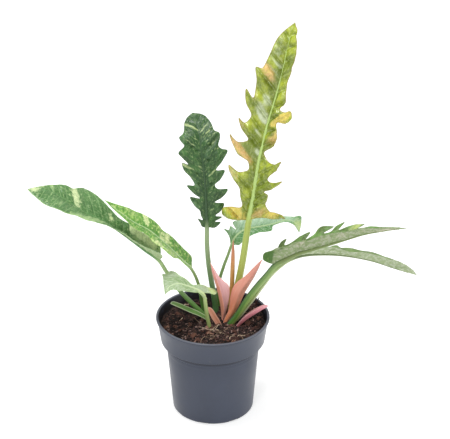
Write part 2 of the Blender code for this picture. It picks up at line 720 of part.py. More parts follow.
def flat_triangles(outline, length, cell):
    """The flat blade split into triangles, with the rib as a line of edges: its points and its triangles."""
    count = max(2, round(length / cell))
    rib = [(length * i / count, 0.0) for i in range(count)]
    points = list(outline) + rib
    widest = max(abs(t) for _, t in outline)
    row = 1
    while row * cell * 0.87 < widest:
        for side in (-1, 1):
            for i in range(-2, count + 1):
                spot = ((i + 0.5 * (row % 2)) * cell, side * row * cell * 0.87)
                if inside(spot, outline) and spacing(spot, outline) > 0.42 * cell:
                    points.append(spot)
        row += 1
    first = len(outline)
    edges = [(first + i, first + i + 1) for i in range(count - 1)]
    tip = next(i for i, point in enumerate(outline) if point[0] >= length - 0.001)
    edges.append((first + count - 1, tip))
    face = list(range(len(outline)))
    split = delaunay_2d_cdt([Vector(p) for p in points], edges, [face], 1, 0.0001, False)
    spots = split[0]
    middles = [sum((spots[i] for i in face), Vector((0, 0))) / 3 for face in split[2]]
    kept = [face for face, middle in zip(split[2], middles) if inside(middle, outline)]
    return spots, kept


def lay(path, start, point, blade):
    """Where a flat point of the blade comes to lie in space."""
    along, reach = point
    length = path.length - start
    share = min(max(along / length, 0.0), 1.0)
    ahead = path.heading(start + max(along, 0.0), start)
    face = Vector(blade.faces[0]).lerp(Vector(blade.faces[1]), share)
    up = (face - ahead * face.dot(ahead)).normalized()
    out = ahead.cross(up)
    fold = blade.fold[0] + (blade.fold[1] - blade.fold[0]) * share
    angle = math.radians(fold + blade.curl * abs(reach) / WIDE)
    wave = blade.wave * math.sin(2 * math.pi * along / WAVE_LENGTH + (0.0 if reach < 0 else 1.9))
    rise = abs(reach) * math.sin(angle) + wave * (reach / WIDE) ** 2
    base = path.at(start + max(along, 0.0)) + ahead * min(along, 0.0)
    return base + out * (reach * math.cos(angle)) + up * rise


def blade_solid(name, path, start, outline, blade, thickness, home):
    """The blade as one thin closed sheet."""
    points, triangles = flat_triangles(outline, path.length - start, blade.cell)
    mesh = bpy.data.meshes.new(name)
    mesh.from_pydata([lay(path, start, p, blade) * MM for p in points], [], triangles)
    obj = mesh_object(name, mesh, home)
    shell = obj.modifiers.new("thickness", "SOLIDIFY")
    shell.thickness = thickness * MM
    shell.offset = 0.0
    return settled(obj, home)


def build_leaf(leaf, parts):
    """One leaf: the stalk and midrib as a tapering bar, with the blade joined to it."""
    path = Path(grounded(leaf.stalk, leaf.radii[0]) + leaf.rib)
    start = path.distance_to(len(leaf.stalk) - 1)
    length = path.length - start
    outline = outline_of(leaf.left, leaf.right, length, OUTLINE_STEPS)
    blade = blade_solid("blade", path, start, outline, leaf, BLADE_THICKNESS, parts)
    end = start + RIB_END * length
    steps = round(end / RIB_STEP)
    places, radii = [], []
    for i in range(steps + 1):
        distance = end * i / steps
        places.append(path.at(distance))
        radii.append(rib_radius(leaf, distance, start, end))
    solid = combined(tube(leaf.name, places, radii, 8, parts), [blade], "UNION", parts, leaf.solver)
    solid.data.materials.append(material(leaf.name, leaf.finish))
    return solid


def rib_radius(leaf, distance, start, end):
    """The stalk's radius down to the blade, then the midrib's, which thins fast and then slowly."""
    bottom, top, tip = leaf.radii
    if distance <= start:
        return bottom + (top - bottom) * distance / start
    return tip + (top - tip) * (1.0 - (distance - start) / (end - start)) ** 1.6


def build_sheath(sheath, parts):
    """One leaf sheath: a pointed, folded strap."""
    path = Path(grounded(sheath.line, 1.5 * sheath.left[0][1]))
    left, right = ([(max(0.5, share * path.length), reach) for share, reach in side]
                   for side in (sheath.left, sheath.right))
    outline = outline_of(left, right, path.length, OUTLINE_STEPS)
    solid = blade_solid(sheath.name, path, 0.0, outline, sheath, SHEATH_THICKNESS, parts)
    solid.data.materials.append(material(sheath.name, sheath.finish))
    return solid


def hole(line, radius, aside):
    """The hole in the soil that a stalk or sheath stands in: the points and radii of its cutter."""
    low, second, third = (Vector(p) for p in line[:3])
    path = Path([low, second, second + (third - second).normalized() * 14.0])
    places = [path.at(path.length * i / 3) + aside for i in range(4)]
    return [places[0] - Vector((0.0, 0.0, 4.0))] + places, [radius + GAP] * 5


def reach_at(side, share):
    """How far a sheath's margin reaches out at a share of its length."""
    for (low, first), (high, last) in zip(side, side[1:]):
        if share <= high:
            return first + (last - first) * (share - low) / (high - low)
    return side[-1][1]


def sheath_hole(sheath):
    """A sheath's hole, set on the middle of its folded section where it leaves the soil."""
    line = grounded(sheath.line, 1.5 * sheath.left[0][1])
    path = Path(line)
    shares = [i / 40 for i in range(41)]
    mouth = next(share for share in shares if path.at(path.length * share).z > SOIL_HEIGHT + SOIL_MOUND + 1.5)
    width = max(reach_at(sheath.left, mouth), reach_at(sheath.right, mouth))
    fold = math.radians(sheath.fold[0])
    face = Vector(sheath.face)
    face = Vector((face.x, face.y, 0.0)).normalized()
    rise = width * math.sin(fold)
    radius = math.hypot(width * math.cos(fold), 0.5 * rise) + sheath.room
    return hole(line, radius, face * 0.5 * rise)


def holes():
    """A hole for each stalk and sheath."""
    found = [hole(grounded(leaf.stalk, leaf.radii[0]), leaf.radii[0] + 0.2, Vector()) for leaf in LEAVES]
    return found + [sheath_hole(sheath) for sheath in SHEATHS]


def main():
    """Builds every part in one collection."""
    clear_scene()
    parts = new_collection("potted_philodendron")
    helpers = new_collection("helpers")
    build_pot(parts, helpers)
    build_crown(parts)
    for leaf in LEAVES:
        build_leaf(leaf, parts)
    for sheath in SHEATHS:
        build_sheath(sheath, parts)
    build_soil(parts, holes(), helpers)


main()
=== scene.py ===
"""The looks of a potted ring of fire philodendron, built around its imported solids.

Sizes are in millimetres until a mesh is made, which is in metres. The origin is the middle of the pot's
foot, +Z is up, and the plant shows its best side towards -Y. Each leaf and sheath repeats its solid's line,
margin, fold and curl at a finer step and adds the swell between the veins, the thin margin and the colours.
The pot and the soil with all that lies on it are made from the pot's driving sizes.
"""

from __future__ import annotations

import json
import logging
import math
import random
from dataclasses import dataclass, field
from enum import Enum

import bmesh
import bpy
import numpy as np
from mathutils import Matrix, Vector, noise
from mathutils.geometry import delaunay_2d_cdt

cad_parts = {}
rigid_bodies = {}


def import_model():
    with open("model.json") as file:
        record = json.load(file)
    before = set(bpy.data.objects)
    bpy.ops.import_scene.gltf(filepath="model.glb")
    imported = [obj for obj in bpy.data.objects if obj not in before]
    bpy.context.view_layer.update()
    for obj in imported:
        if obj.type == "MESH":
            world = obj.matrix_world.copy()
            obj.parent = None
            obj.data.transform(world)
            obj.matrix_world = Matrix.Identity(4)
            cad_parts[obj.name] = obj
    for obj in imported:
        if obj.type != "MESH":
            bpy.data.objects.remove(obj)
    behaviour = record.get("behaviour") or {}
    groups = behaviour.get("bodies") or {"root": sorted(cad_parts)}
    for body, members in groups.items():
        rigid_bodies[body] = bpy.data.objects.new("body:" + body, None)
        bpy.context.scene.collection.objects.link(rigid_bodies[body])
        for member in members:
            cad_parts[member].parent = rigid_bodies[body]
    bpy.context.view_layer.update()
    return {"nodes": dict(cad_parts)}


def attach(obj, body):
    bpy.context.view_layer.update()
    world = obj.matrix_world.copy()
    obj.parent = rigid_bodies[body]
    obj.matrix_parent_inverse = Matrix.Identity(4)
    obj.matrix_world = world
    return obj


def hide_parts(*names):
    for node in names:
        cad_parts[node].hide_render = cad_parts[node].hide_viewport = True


Colour = tuple[float, float, float]
Triple = tuple[float, float, float]
Line = list[Triple]
Outline = list[tuple[float, float]]
Patch = tuple[float, float, float, float, float]
Socket = bpy.types.NodeSocket

LOG = logging.getLogger("philodendron")
MM = 0.001
BODY = "root"

# Lengths in millimetres. Curl, wave and the bend of the side veins are given at the reach WIDE.
BLADE_THICKNESS = 0.8
SHEATH_THICKNESS = 1.1
SHEATH_CELL = 1.3
SHEATH_FOOT = 0.5
BASE_HALF_WIDTH = 1.6
WIDE = 35.0
WAVE_LENGTH = 46.0
HEADING_SPAN = 24.0
VEIN_HEIGHT = 0.3
VEIN_GAP = 5.0
VEIN_BEFORE_BASE = 70.0
VEIN_PAST_TIP = 30.0
LOBE_REACH = 8.0
MARGIN_SPAN = 2.5
RING_STEP = 3.0
MERGE_DISTANCE = 0.0001

# Shares, counts and angles.
RIB_END = 0.93
RIB_TAPER = 1.6
VEIN_BEND = 0.12
VEIN_HALF_WIDTH = 0.08
MARGIN_SHARE = 0.42
ROW_SHARE = 0.87
STALK_SIDES = 16
GROOVE_DEPTH = 0.12
GROOVE_TURN = 0.5
WAVE_SHIFT = 1.9
LEAF_SHARP_DEG = 50.0
POT_SHARP_DEG = 38.0

# What a millimetre along a surface, and a millimetre or a vein across it, count in the UV maps.
MAP_LENGTH = 0.01
MAP_FINE = 0.1


class Layer(Enum):
    """The UV maps that carry a surface's own measures to its material.

    BLADE holds the distance along and out from the middle line, on a stalk the distance along and the turn
    round it, and on soil each grain's tone. VEINS holds the place among the side veins and the reach, SKIN
    the distance from the margin and the side, STAIN how warm and cream a place is, and TONE how deep and
    pale.
    """

    BLADE = "blade"
    VEINS = "veins"
    SKIN = "skin"
    STAIN = "stain"
    TONE = "tone"


class Slot(Enum):
    """The record's material slots."""

    POT_PLASTIC = "pot_plastic"
    SOIL = "soil"
    LEAF_YOUNG = "leaf_young"
    LEAF_GREEN = "leaf_green"
    LEAF_PALE = "leaf_pale"
    SHEATH_PINK = "sheath_pink"
    SHEATH_GREEN = "sheath_green"


class Tint(Enum):
    """The colours of a blade's finish that patches bring out."""

    WARM = "warm"
    CREAM = "cream"
    DEEP = "deep"
    PALE = "pale"


class Graph:
    """One material's node tree, built a node at a time."""

    def __init__(self, name: str) -> None:
        """Starts a material with its Principled shader.

        Args:
            name: the material's name.
        """
        self.material = bpy.data.materials.new(name)
        self.material.use_nodes = True
        self.tree = self.material.node_tree
        self.shader = self.tree.nodes["Principled BSDF"]

    def node(self, kind: str, **settings: object) -> bpy.types.Node:
        """Adds a node of this kind and sets its named settings.

        Args:
            kind: the node's Blender type.
            settings: attribute names and their values.

        Returns:
            The new node.
        """
        made = self.tree.nodes.new(kind)
        for name, value in settings.items():
            setattr(made, name, value)
        return made

    def feed(self, socket: Socket, value: object) -> None:
        """Links an output into the socket, or sets the socket to a plain value.

        Args:
            socket: the input to fill.
            value: an output socket, a number or a colour.
        """
        if isinstance(value, bpy.types.NodeSocket):
            self.tree.links.new(value, socket)
        elif isinstance(value, tuple) and socket.type == "RGBA":
            socket.default_value = (*value, 1.0)
        else:
            socket.default_value = value

    def layer(self, which: Layer) -> tuple[Socket, Socket]:
        """Reads a UV map.

        Args:
            which: the map.

        Returns:
            The two numbers that it carries.
        """
        source = self.node("ShaderNodeUVMap", uv_map=which.value)
        split = self.node("ShaderNodeSeparateXYZ")
        self.feed(split.inputs[0], source.outputs[0])
        return split.outputs[0], split.outputs[1]

    def place(self) -> Socket:
        """The surface's place in metres."""
        return self.node("ShaderNodeTexCoord").outputs["Object"]

    def point(self, x: object, y: object, z: object = 0.0) -> Socket:
        """Joins three numbers.

        Args:
            x: the first number.
            y: the second number.
            z: the third number.

        Returns:
            The vector.
        """
        made = self.node("ShaderNodeCombineXYZ")
        for socket, value in zip(made.inputs, (x, y, z)):
            self.feed(socket, value)
        return made.outputs[0]

    def calc(self, operation: str, a: object, b: object = 0.0, clamp: bool = False) -> Socket:
        """One sum on two numbers.

        Args:
            operation: the Math node's operation.
            a: the first number.
            b: the second number.
            clamp: whether the result is kept between 0 and 1.

        Returns:
            The result.
        """
        made = self.node("ShaderNodeMath", operation=operation, use_clamp=clamp)
        self.feed(made.inputs[0], a)
        self.feed(made.inputs[1], b)
        return made.outputs[0]

    def times(self, a: object, b: object) -> Socket:
        """One number times another."""
        return self.calc("MULTIPLY", a, b)

    def plus(self, a: object, b: object) -> Socket:
        """One number and another together."""
        return self.calc("ADD", a, b)

    def less(self, a: object, b: object) -> Socket:
        """One number less another."""
        return self.calc("SUBTRACT", a, b)

    def ramp(self, value: object, low: float, high: float, first: float = 0.0, last: float = 1.0) -> Socket:
        """A smooth step of a number.

        Args:
            value: the number read.
            low: where the step starts.
            high: where it ends.
            first: the result below low.
            last: the result above high.

        Returns:
            The stepped number.
        """
        made = self.node("ShaderNodeMapRange", interpolation_type="SMOOTHSTEP")
        for socket, number in zip(made.inputs, (value, low, high, first, last)):
            self.feed(socket, number)
        return made.outputs[0]

    def noise(self, vector: Socket, scale: float, detail: float = 3.0, rough: float = 0.55) -> Socket:
        """Cloudy noise.

        Args:
            vector: the place that it is read at.
            scale: how many clouds there are in a unit.
            detail: how many finer layers it has.
            rough: how strong the finer layers are.

        Returns:
            A number between 0 and 1.
        """
        made = self.node("ShaderNodeTexNoise")
        for name, value in (("Vector", vector), ("Scale", scale), ("Detail", detail), ("Roughness", rough)):
            self.feed(made.inputs[name], value)
        return made.outputs["Fac"]

    def cells(self, vector: Socket, scale: float) -> Socket:
        """A net of cells.

        Args:
            vector: the place that it is read at.
            scale: how many cells there are in a unit.

        Returns:
            The distance to the nearest cell's edge.
        """
        made = self.node("ShaderNodeTexVoronoi", feature="DISTANCE_TO_EDGE")
        self.feed(made.inputs["Vector"], vector)
        self.feed(made.inputs["Scale"], scale)
        return made.outputs["Distance"]

    def blend(self, share: object, low: object, high: object) -> Socket:
        """Two colours mixed.

        Args:
            share: how much of high there is.
            low: the first colour.
            high: the second colour.

        Returns:
            The mixed colour.
        """
        made = self.node("ShaderNodeMix", data_type="RGBA")
        self.feed(made.inputs[0], share)
        self.feed(made.inputs[6], low)
        self.feed(made.inputs[7], high)
        return made.outputs[2]

    def bump(self, height: Socket, depth: float) -> None:
        """Gives the surface a fine relief.

        Args:
            height: the relief's height, from 0 to 1.
            depth: how deep it is, in millimetres.
        """
        made = self.node("ShaderNodeBump")
        self.feed(made.inputs["Distance"], depth * MM)
        self.feed(made.inputs["Height"], height)
        self.feed(self.shader.inputs["Normal"], made.outputs[0])

    def surface(self, colour: object, roughness: object, **others: object) -> bpy.types.Material:
        """Sets the shader's main sockets.

        Args:
            colour: the base colour.
            roughness: the roughness.
            others: further socket names, with _ for a space, and their values.

        Returns:
            The finished material.
        """
        self.feed(self.shader.inputs["Base Color"], colour)
        self.feed(self.shader.inputs["Roughness"], roughness)
        for name, value in others.items():
            self.feed(self.shader.inputs[name.replace("_", " ")], value)
        return self.material


@dataclass(frozen=True)
class BladeFinish:
    """The skin of a leaf blade: two sides, veins, flecks and patches.

    The shares tell how strong its veins, the painted shade in the furrows beside them, its flecks, speckles
    and mosaic are.
    """

    upper: Colour
    deep: Colour
    vein: Colour
    under: Colour
    mottle: Colour
    margin: Colour
    fleck: Colour
    pale: Colour
    warm: Colour = (0.8, 0.33, 0.05)
    cream: Colour = (0.72, 0.74, 0.47)
    vein_share: float = 0.5
    furrow_shade_share: float = 0.35
    fleck_share: float = 0.0
    speckle_share: float = 0.0
    mosaic_share: float = 0.0
    roughness: float = 0.36
    gloss: float = 0.4

    def build(self, name: str) -> bpy.types.Material:
        """Makes the material.

        Args:
            name: the material's name.

        Returns:
            The material.
        """
        g = Graph(name)
        along, reach = g.layer(Layer.BLADE)
        vein, out = g.layer(Layer.VEINS)
        edge, side = g.layer(Layer.SKIN)
        warm, cream = g.layer(Layer.STAIN)
        deep, pale = g.layer(Layer.TONE)
        flat = g.point(along, reach)
        half = g.ramp(reach, -0.001, 0.001)
        streak = g.point(g.times(vein, 3.0), g.times(out, 1.2), half)
        torn = g.times(g.less(g.noise(streak, 8.0, 5.0, 0.7), 0.5), 1.2)
        soft = g.times(g.less(g.noise(flat, 16.0, 4.0, 0.6), 0.5), 0.8)

        cloud = g.plus(g.noise(flat, 6.0, 3.0), g.times(deep, 0.5))
        colour = g.blend(g.ramp(cloud, 0.36, 0.66), self.upper, self.deep)
        colour = g.blend(g.ramp(g.plus(pale, soft), 0.2, 0.75, 0.0, 0.9), colour, self.pale)
        fine = g.noise(streak, 11.0, 3.0)
        colour = g.blend(g.ramp(fine, 0.45, 0.75, 0.0, 0.35), colour, self.fleck)
        if self.fleck_share > 0.0:
            dashes = g.point(g.times(vein, 9.0), g.times(out, 1.6), half)
            flecks = g.noise(dashes, 6.0, 4.0, 0.62)
            low = 0.74 - 0.28 * self.fleck_share
            colour = g.blend(g.ramp(flecks, low, low + 0.07, 0.0, 0.9), colour, self.fleck)
        if self.mosaic_share > 0.0:
            tiles = g.noise(g.point(along, reach, half), 27.0, 4.0, 0.65)
            low = 0.7 - 0.22 * self.mosaic_share
            colour = g.blend(g.ramp(tiles, low, low + 0.05, 0.0, 0.75), colour, self.fleck)
            colour = g.blend(g.ramp(tiles, 0.94 - low, 1.0 - low, 0.8, 0.0), colour, self.deep)
            uneven = g.times(g.less(tiles, 0.5), 2.2 * self.mosaic_share)
            torn = g.plus(torn, uneven)
        if self.speckle_share > 0.0:
            specks = g.noise(flat, 62.0, 2.0, 0.6)
            low = 0.78 - 0.25 * self.speckle_share
            colour = g.blend(g.ramp(specks, low, low + 0.05, 0.0, 0.85), colour, self.fleck)
        wave, minor = (g.calc("ABSOLUTE", g.calc("COSINE", g.times(vein, count * math.pi / MAP_FINE)))
                       for count in (1, 2))
        line = g.calc("POWER", wave, 60.0)
        thin = g.calc("POWER", minor, 40.0)
        # Painted shade: a darker band along each vein stands in for the shade in the furrows there.
        furrow_shade = g.calc("SUBTRACT", g.calc("POWER", wave, 7.0), line, True)
        colour = g.blend(g.times(furrow_shade, self.furrow_shade_share), colour, self.deep)
        colour = g.blend(g.times(thin, 0.3 * self.vein_share), colour, self.vein)
        colour = g.blend(g.times(line, self.vein_share), colour, self.vein)

        grain = g.ramp(g.noise(streak, 14.0, 3.0, 0.6), 0.36, 0.6, 0.6, 1.0)
        warmed = g.times(g.ramp(g.plus(warm, soft), 0.05, 1.05, 0.0, 0.85), grain)
        colour = g.blend(warmed, colour, self.warm)
        patch = g.times(g.ramp(g.plus(cream, torn), 0.3, 0.78), grain)
        colour = g.blend(g.times(patch, 0.92), colour, self.cream)

        spots = g.noise(flat, 18.0, 5.0, 0.7)
        below = g.blend(g.ramp(spots, 0.45, 0.6), self.under, self.mottle)
        below = g.blend(g.ramp(g.plus(deep, soft), 0.2, 0.8, 0.0, 0.8), below, self.deep)
        below = g.blend(g.times(line, 0.35), below, self.vein)
        below = g.blend(g.ramp(g.plus(warm, soft), 0.15, 0.8, 0.0, 0.9), below, self.warm)
        below = g.blend(g.ramp(g.plus(pale, soft), 0.2, 0.8, 0.0, 0.8), below, self.pale)
        below = g.blend(g.times(patch, 0.6), below, self.cream)
        colour = g.blend(side, below, colour)
        colour = g.blend(g.ramp(edge, 0.02, 0.09, 0.75, 0.0), colour, self.margin)
        net = g.ramp(g.cells(flat, 58.0), 0.0, 0.12)
        colour = g.blend(g.times(g.less(1.0, net), 0.14), colour, self.vein)

        height = g.plus(g.times(net, 0.25), g.times(fine, 0.9))
        g.bump(height, 0.22)
        gloss = g.ramp(g.noise(flat, 22.0), 0.3, 0.7, self.roughness - 0.06, self.roughness + 0.1)
        dull = g.times(g.less(1.0, side), 0.22)
        return g.surface(colour, g.plus(gloss, dull), Specular_IOR_Level=self.gloss)


@dataclass(frozen=True)
class StalkFinish:
    """The skin of a leaf stalk and of the midrib that it runs on as.

    Flank_share tells how strongly the colour above, a painted shade, darkens its flanks near the groove,
    and the one beneath, a painted light, lightens its lower side.
    """

    base: Colour
    top: Colour
    rib: Colour
    line: Colour
    line_share: float = 0.3
    roughness: float = 0.4
    above: Colour = (0.0, 0.0, 0.0)
    beneath: Colour = (0.0, 0.0, 0.0)
    flank_share: float = 0.0

    def build(self, name: str, start: float) -> bpy.types.Material:
        """Makes the material.

        Args:
            name: the material's name.
            start: how far up the stalk the blade starts.

        Returns:
            The material.
        """
        g = Graph(name)
        along, turn = g.layer(Layer.BLADE)
        grown = g.ramp(along, MAP_LENGTH * 40.0, MAP_LENGTH * start)
        colour = g.blend(grown, self.base, self.top)
        low, high = MAP_LENGTH * (start - 6.0), MAP_LENGTH * (start + 14.0)
        colour = g.blend(g.ramp(along, low, high), colour, self.rib)
        stripe = g.point(g.times(along, 1.2), g.times(turn, 16.0))
        thread = g.noise(stripe, 2.0, 4.0, 0.6)
        colour = g.blend(g.ramp(thread, 0.48, 0.68, 0.0, self.line_share), colour, self.line)
        spots = g.noise(g.point(g.times(along, 9.0), g.times(turn, 10.0)), 4.0, 2.0)
        colour = g.blend(g.ramp(spots, 0.62, 0.72, 0.0, 0.35), colour, self.top)
        # Painted shade and painted light: the flanks near the groove are darkened and the far side is
        # lightened, as light falls across the round stalk.
        if self.flank_share > 0.0:
            fade = g.ramp(along, low, high, 1.0, 0.4)
            shaded = g.times(g.ramp(turn, 0.3, 0.48, self.flank_share, 0.0), fade)
            lit_edge = g.times(g.ramp(turn, 0.58, 0.78, 0.0, self.flank_share), fade)
            colour = g.blend(lit_edge, g.blend(shaded, colour, self.above), self.beneath)
        g.bump(thread, 0.22)
        return g.surface(colour, self.roughness, Specular_IOR_Level=0.5)


@dataclass(frozen=True)
class SheathFinish:
    """The skin of a leaf sheath: coloured along its length, ribbed, with an inner side and a margin."""

    base: Colour
    middle: Colour
    tip: Colour
    inner: Colour
    margin: Colour
    line: Colour
    roughness: float = 0.42

    def build(self, name: str, length: float) -> bpy.types.Material:
        """Makes the material.

        Args:
            name: the material's name.
            length: the sheath's length.

        Returns:
            The material.
        """
        g = Graph(name)
        along, reach = g.layer(Layer.BLADE)
        edge, side = g.layer(Layer.SKIN)
        span = MAP_LENGTH * length
        colour = g.blend(g.ramp(along, 0.25 * span, 0.6 * span), self.base, self.middle)
        colour = g.blend(g.ramp(along, 0.6 * span, 1.0 * span), colour, self.tip)
        colour = g.blend(g.times(side, 0.75), colour, self.inner)
        stripe = g.point(g.times(along, 1.5), g.times(reach, 26.0))
        thread = g.noise(stripe, 3.0, 4.0, 0.6)
        colour = g.blend(g.ramp(thread, 0.45, 0.7, 0.0, 0.5), colour, self.line)
        colour = g.blend(g.ramp(edge, 0.03, 0.13, 0.75, 0.0), colour, self.margin)
        g.bump(thread, 0.2)
        return g.surface(colour, self.roughness, Specular_IOR_Level=0.5)


@dataclass(frozen=True)
class PlasticFinish:
    """Moulded plastic with a fine grain, light scuffs and dust, a painted highlight on the lip's top,
    painted shade under the lip and the collar, and painted shade with a smear of soil on its inner side.

    The lengths are in metres: the heights where the painted highlight on the lip's top starts, where the
    painted shade under the lip and under the collar comes up and ends, where the painted shade and soil on
    the inner wall start and over which they thin, and how near the wall they lie.
    """

    colour: Colour
    dust: Colour
    shade_and_soil: Colour
    rim: Colour
    roughness: float
    lip_highlight_height: tuple[float, float] = (0.1262, 0.1272)
    lip_shade: tuple[float, float, float, float] = (0.1228, 0.1246, 0.1247, 0.1251)
    collar_shade: tuple[float, float, float, float] = (0.0888, 0.0912, 0.0955, 0.0965)
    inner_shade_from: tuple[float, float] = (0.096, 0.0975)
    inner_shade_thins: tuple[float, float] = (0.112, 0.128)
    wall_depth: tuple[float, float] = (0.0002, 0.0007)

    def build(self, name: str, inner: float, slope: float) -> bpy.types.Material:
        """Makes the material.

        Args:
            name: the material's name.
            inner: the pot's inner radius in metres, carried on down to the floor.
            slope: how much wider it gets for each metre of height.

        Returns:
            The material.
        """
        g = Graph(name)
        place = g.place()
        cloud = g.noise(place, 28.0, 4.0)
        pale = tuple(1.25 * c for c in self.colour)
        colour = g.blend(g.ramp(cloud, 0.35, 0.7, 0.0, 0.5), self.colour, pale)
        dusty = g.noise(place, 95.0, 5.0, 0.7)
        colour = g.blend(g.ramp(dusty, 0.62, 0.78, 0.0, 0.25), colour, self.dust)
        parts = g.node("ShaderNodeSeparateXYZ")
        g.feed(parts.inputs[0], place)
        x, y, z = parts.outputs
        radius = g.calc("SQRT", g.plus(g.times(x, x), g.times(y, y)))
        # Painted highlight: the lip's top is lightened where gloss catches its rounded edge.
        colour = g.blend(g.ramp(z, *self.lip_highlight_height, 0.0, 0.45), colour, self.rim)
        # Painted shade: dark bands just under the lip and under the collar's ledge, where shade falls.
        for line, share in ((self.lip_shade, 0.65), (self.collar_shade, 0.4)):
            shade = g.times(g.ramp(z, *line[:2]), g.ramp(z, *line[2:], 1.0, 0.0))
            colour = g.blend(g.times(shade, share), colour, self.shade_and_soil)
        # Painted shade on the inner wall, broken up by noise like a smear of soil.
        depth = g.less(radius, g.plus(inner, g.times(z, slope)))
        within = g.times(g.ramp(depth, *self.wall_depth, 1.0, 0.0), g.ramp(z, *self.inner_shade_from))
        inner_shade = g.plus(g.noise(place, 60.0, 5.0, 0.7), g.ramp(z, *self.inner_shade_thins, 0.45, -0.05))
        colour = g.blend(g.times(within, g.ramp(inner_shade, 0.45, 0.7, 0.35, 0.95)), colour, self.shade_and_soil)
        grain = g.noise(place, 1400.0, 2.0)
        g.bump(grain, 0.03)
        rough = g.ramp(cloud, 0.3, 0.7, self.roughness - 0.05, self.roughness + 0.08)
        return g.surface(colour, rough, Specular_IOR_Level=0.36)


@dataclass(frozen=True)
class EarthFinish:
    """Peat, bark, root and grit: three tones told apart by each grain's own number, and a rough surface."""

    dark: Colour
    middle: Colour
    light: Colour
    light_from: float = 0.85
    roughness: float = 0.9
    depth: float = 0.5

    def build(self, name: str) -> bpy.types.Material:
        """Makes the material.

        Args:
            name: the material's name.

        Returns:
            The material.
        """
        g = Graph(name)
        tone, _ = g.layer(Layer.BLADE)
        place = g.place()
        cloud = g.noise(place, 260.0, 4.0, 0.65)
        mixed = g.plus(tone, g.times(g.less(cloud, 0.5), 0.9))
        colour = g.blend(g.ramp(mixed, 0.25, 0.65), self.dark, self.middle)
        colour = g.blend(g.ramp(mixed, self.light_from, self.light_from + 0.12), colour, self.light)
        g.bump(g.noise(place, 900.0, 4.0, 0.7), self.depth)
        return g.surface(colour, self.roughness, Specular_IOR_Level=0.3)


def between(a: Vector, b: Vector, c: Vector, d: Vector, t: float) -> Vector:
    """The centripetal Catmull-Rom point between b and c.

    Args:
        a: the point before b.
        b: where the span starts.
        c: where it ends.
        d: the point after c.
        t: how far along the span, from 0 to 1.

    Returns:
        The point.
    """
    k1 = (b - a).length ** 0.5
    k2 = k1 + (c - b).length ** 0.5
    k3 = k2 + (d - c).length ** 0.5
    k = k1 + (k2 - k1) * t
    ab = a.lerp(b, k / k1)
    bc = b.lerp(c, (k - k1) / (k2 - k1))
    cd = c.lerp(d, (k - k2) / (k3 - k2))
    return ab.lerp(bc, k / k2).lerp(bc.lerp(cd, (k - k1) / (k3 - k1)), (k - k1) / (k2 - k1))


def rounded(points: list, per_span: int) -> list[Vector]:
    """Joins points by a smooth line.

    Args:
        points: the points, flat or in space.
        per_span: how many points of the line each span gets.

    Returns:
        The points of the line, both ends among them.
    """
    knots = [Vector(p) for p in points]
    ends = [2 * knots[0] - knots[1], *knots, 2 * knots[-1] - knots[-2]]
    line = []
    for a, b, c, d in zip(ends, ends[1:], ends[2:], ends[3:]):
        line += [between(a, b, c, d, i / per_span) for i in range(per_span)]
    return line + [knots[-1]]


def spaced(points: list[Vector], least: float) -> list[Vector]:
    """Drops the points that follow the last one kept too closely.

    Args:
        points: the points of a line.
        least: the least distance between two that are kept.

    Returns:
        The points kept, both ends among them.
    """
    kept = [points[0]]
    for point in points[1:-1]:
        if (point - kept[-1]).length >= least and (point - points[-1]).length >= least:
            kept.append(point)
    return kept + [points[-1]]


def unit(vectors: np.ndarray) -> np.ndarray:
    """The vectors, each of length one."""
    return vectors / np.maximum(np.linalg.norm(vectors, axis=-1, keepdims=True), 1e-9)


def inside(spots: np.ndarray, outline: np.ndarray) -> np.ndarray:
    """Tells which flat points lie within an outline.

    Args:
        spots: the flat points.
        outline: the outline's corners in order.

    Returns:
        True for each point within it.
    """
    x, y = spots[:, :1], spots[:, 1:]
    x0, y0 = outline[:, 0], outline[:, 1]
    x1, y1 = np.roll(x0, -1), np.roll(y0, -1)
    rise = np.where(np.abs(y1 - y0) < 1e-12, 1e-12, y1 - y0)
    crossed = ((y0 > y) != (y1 > y)) & (x < x0 + (x1 - x0) * (y - y0) / rise)
    return crossed.sum(axis=1) % 2 == 1


def distance_to(spots: np.ndarray, outline: np.ndarray) -> np.ndarray:
    """Measures how far flat points lie from an outline.

    Args:
        spots: the flat points.
        outline: the outline's corners in order.

    Returns:
        Each point's distance from the nearest side.
    """
    ends = np.roll(outline, -1, axis=0)
    side = ends - outline
    square = np.maximum((side ** 2).sum(axis=1), 1e-12)
    nearest = np.full(len(spots), 1e9)
    for start, step, size in zip(outline, side, square):
        share = np.clip(((spots - start) @ step) / size, 0.0, 1.0)
        gap = spots - start - share[:, None] * step
        nearest = np.minimum(nearest, (gap ** 2).sum(axis=1))
    return np.sqrt(nearest)


class Path:
    """A smooth line through a few points, read by the distance along it."""

    def __init__(self, points: Line, per_span: int = 16) -> None:
        """Runs the line through the points.

        Args:
            points: the points.
            per_span: how many points of the line each span gets.
        """
        self.points = np.array([tuple(p) for p in rounded(points, per_span)])
        self.marks = [per_span * i for i in range(len(points))]
        steps = np.linalg.norm(np.diff(self.points, axis=0), axis=1)
        self.reached = np.concatenate([[0.0], np.cumsum(steps)])
        self.length = float(self.reached[-1]) - 0.001

    def distance_to(self, index: int) -> float:
        """How far along the line its point of this index lies."""
        return float(self.reached[self.marks[index]])

    def at(self, distance: np.ndarray) -> np.ndarray:
        """The points at these distances, kept between the two ends."""
        kept = np.clip(distance, 0.0001, self.length)
        return np.stack([np.interp(kept, self.reached, self.points[:, k]) for k in range(3)], axis=-1)

    def heading(self, distance: np.ndarray, lowest: float = 0.0) -> np.ndarray:
        """The line's unit directions, each taken over a span that starts no lower than lowest."""
        start = np.maximum(lowest, np.minimum(self.length - HEADING_SPAN, distance - 0.5 * HEADING_SPAN))
        return unit(self.at(start + HEADING_SPAN) - self.at(start))


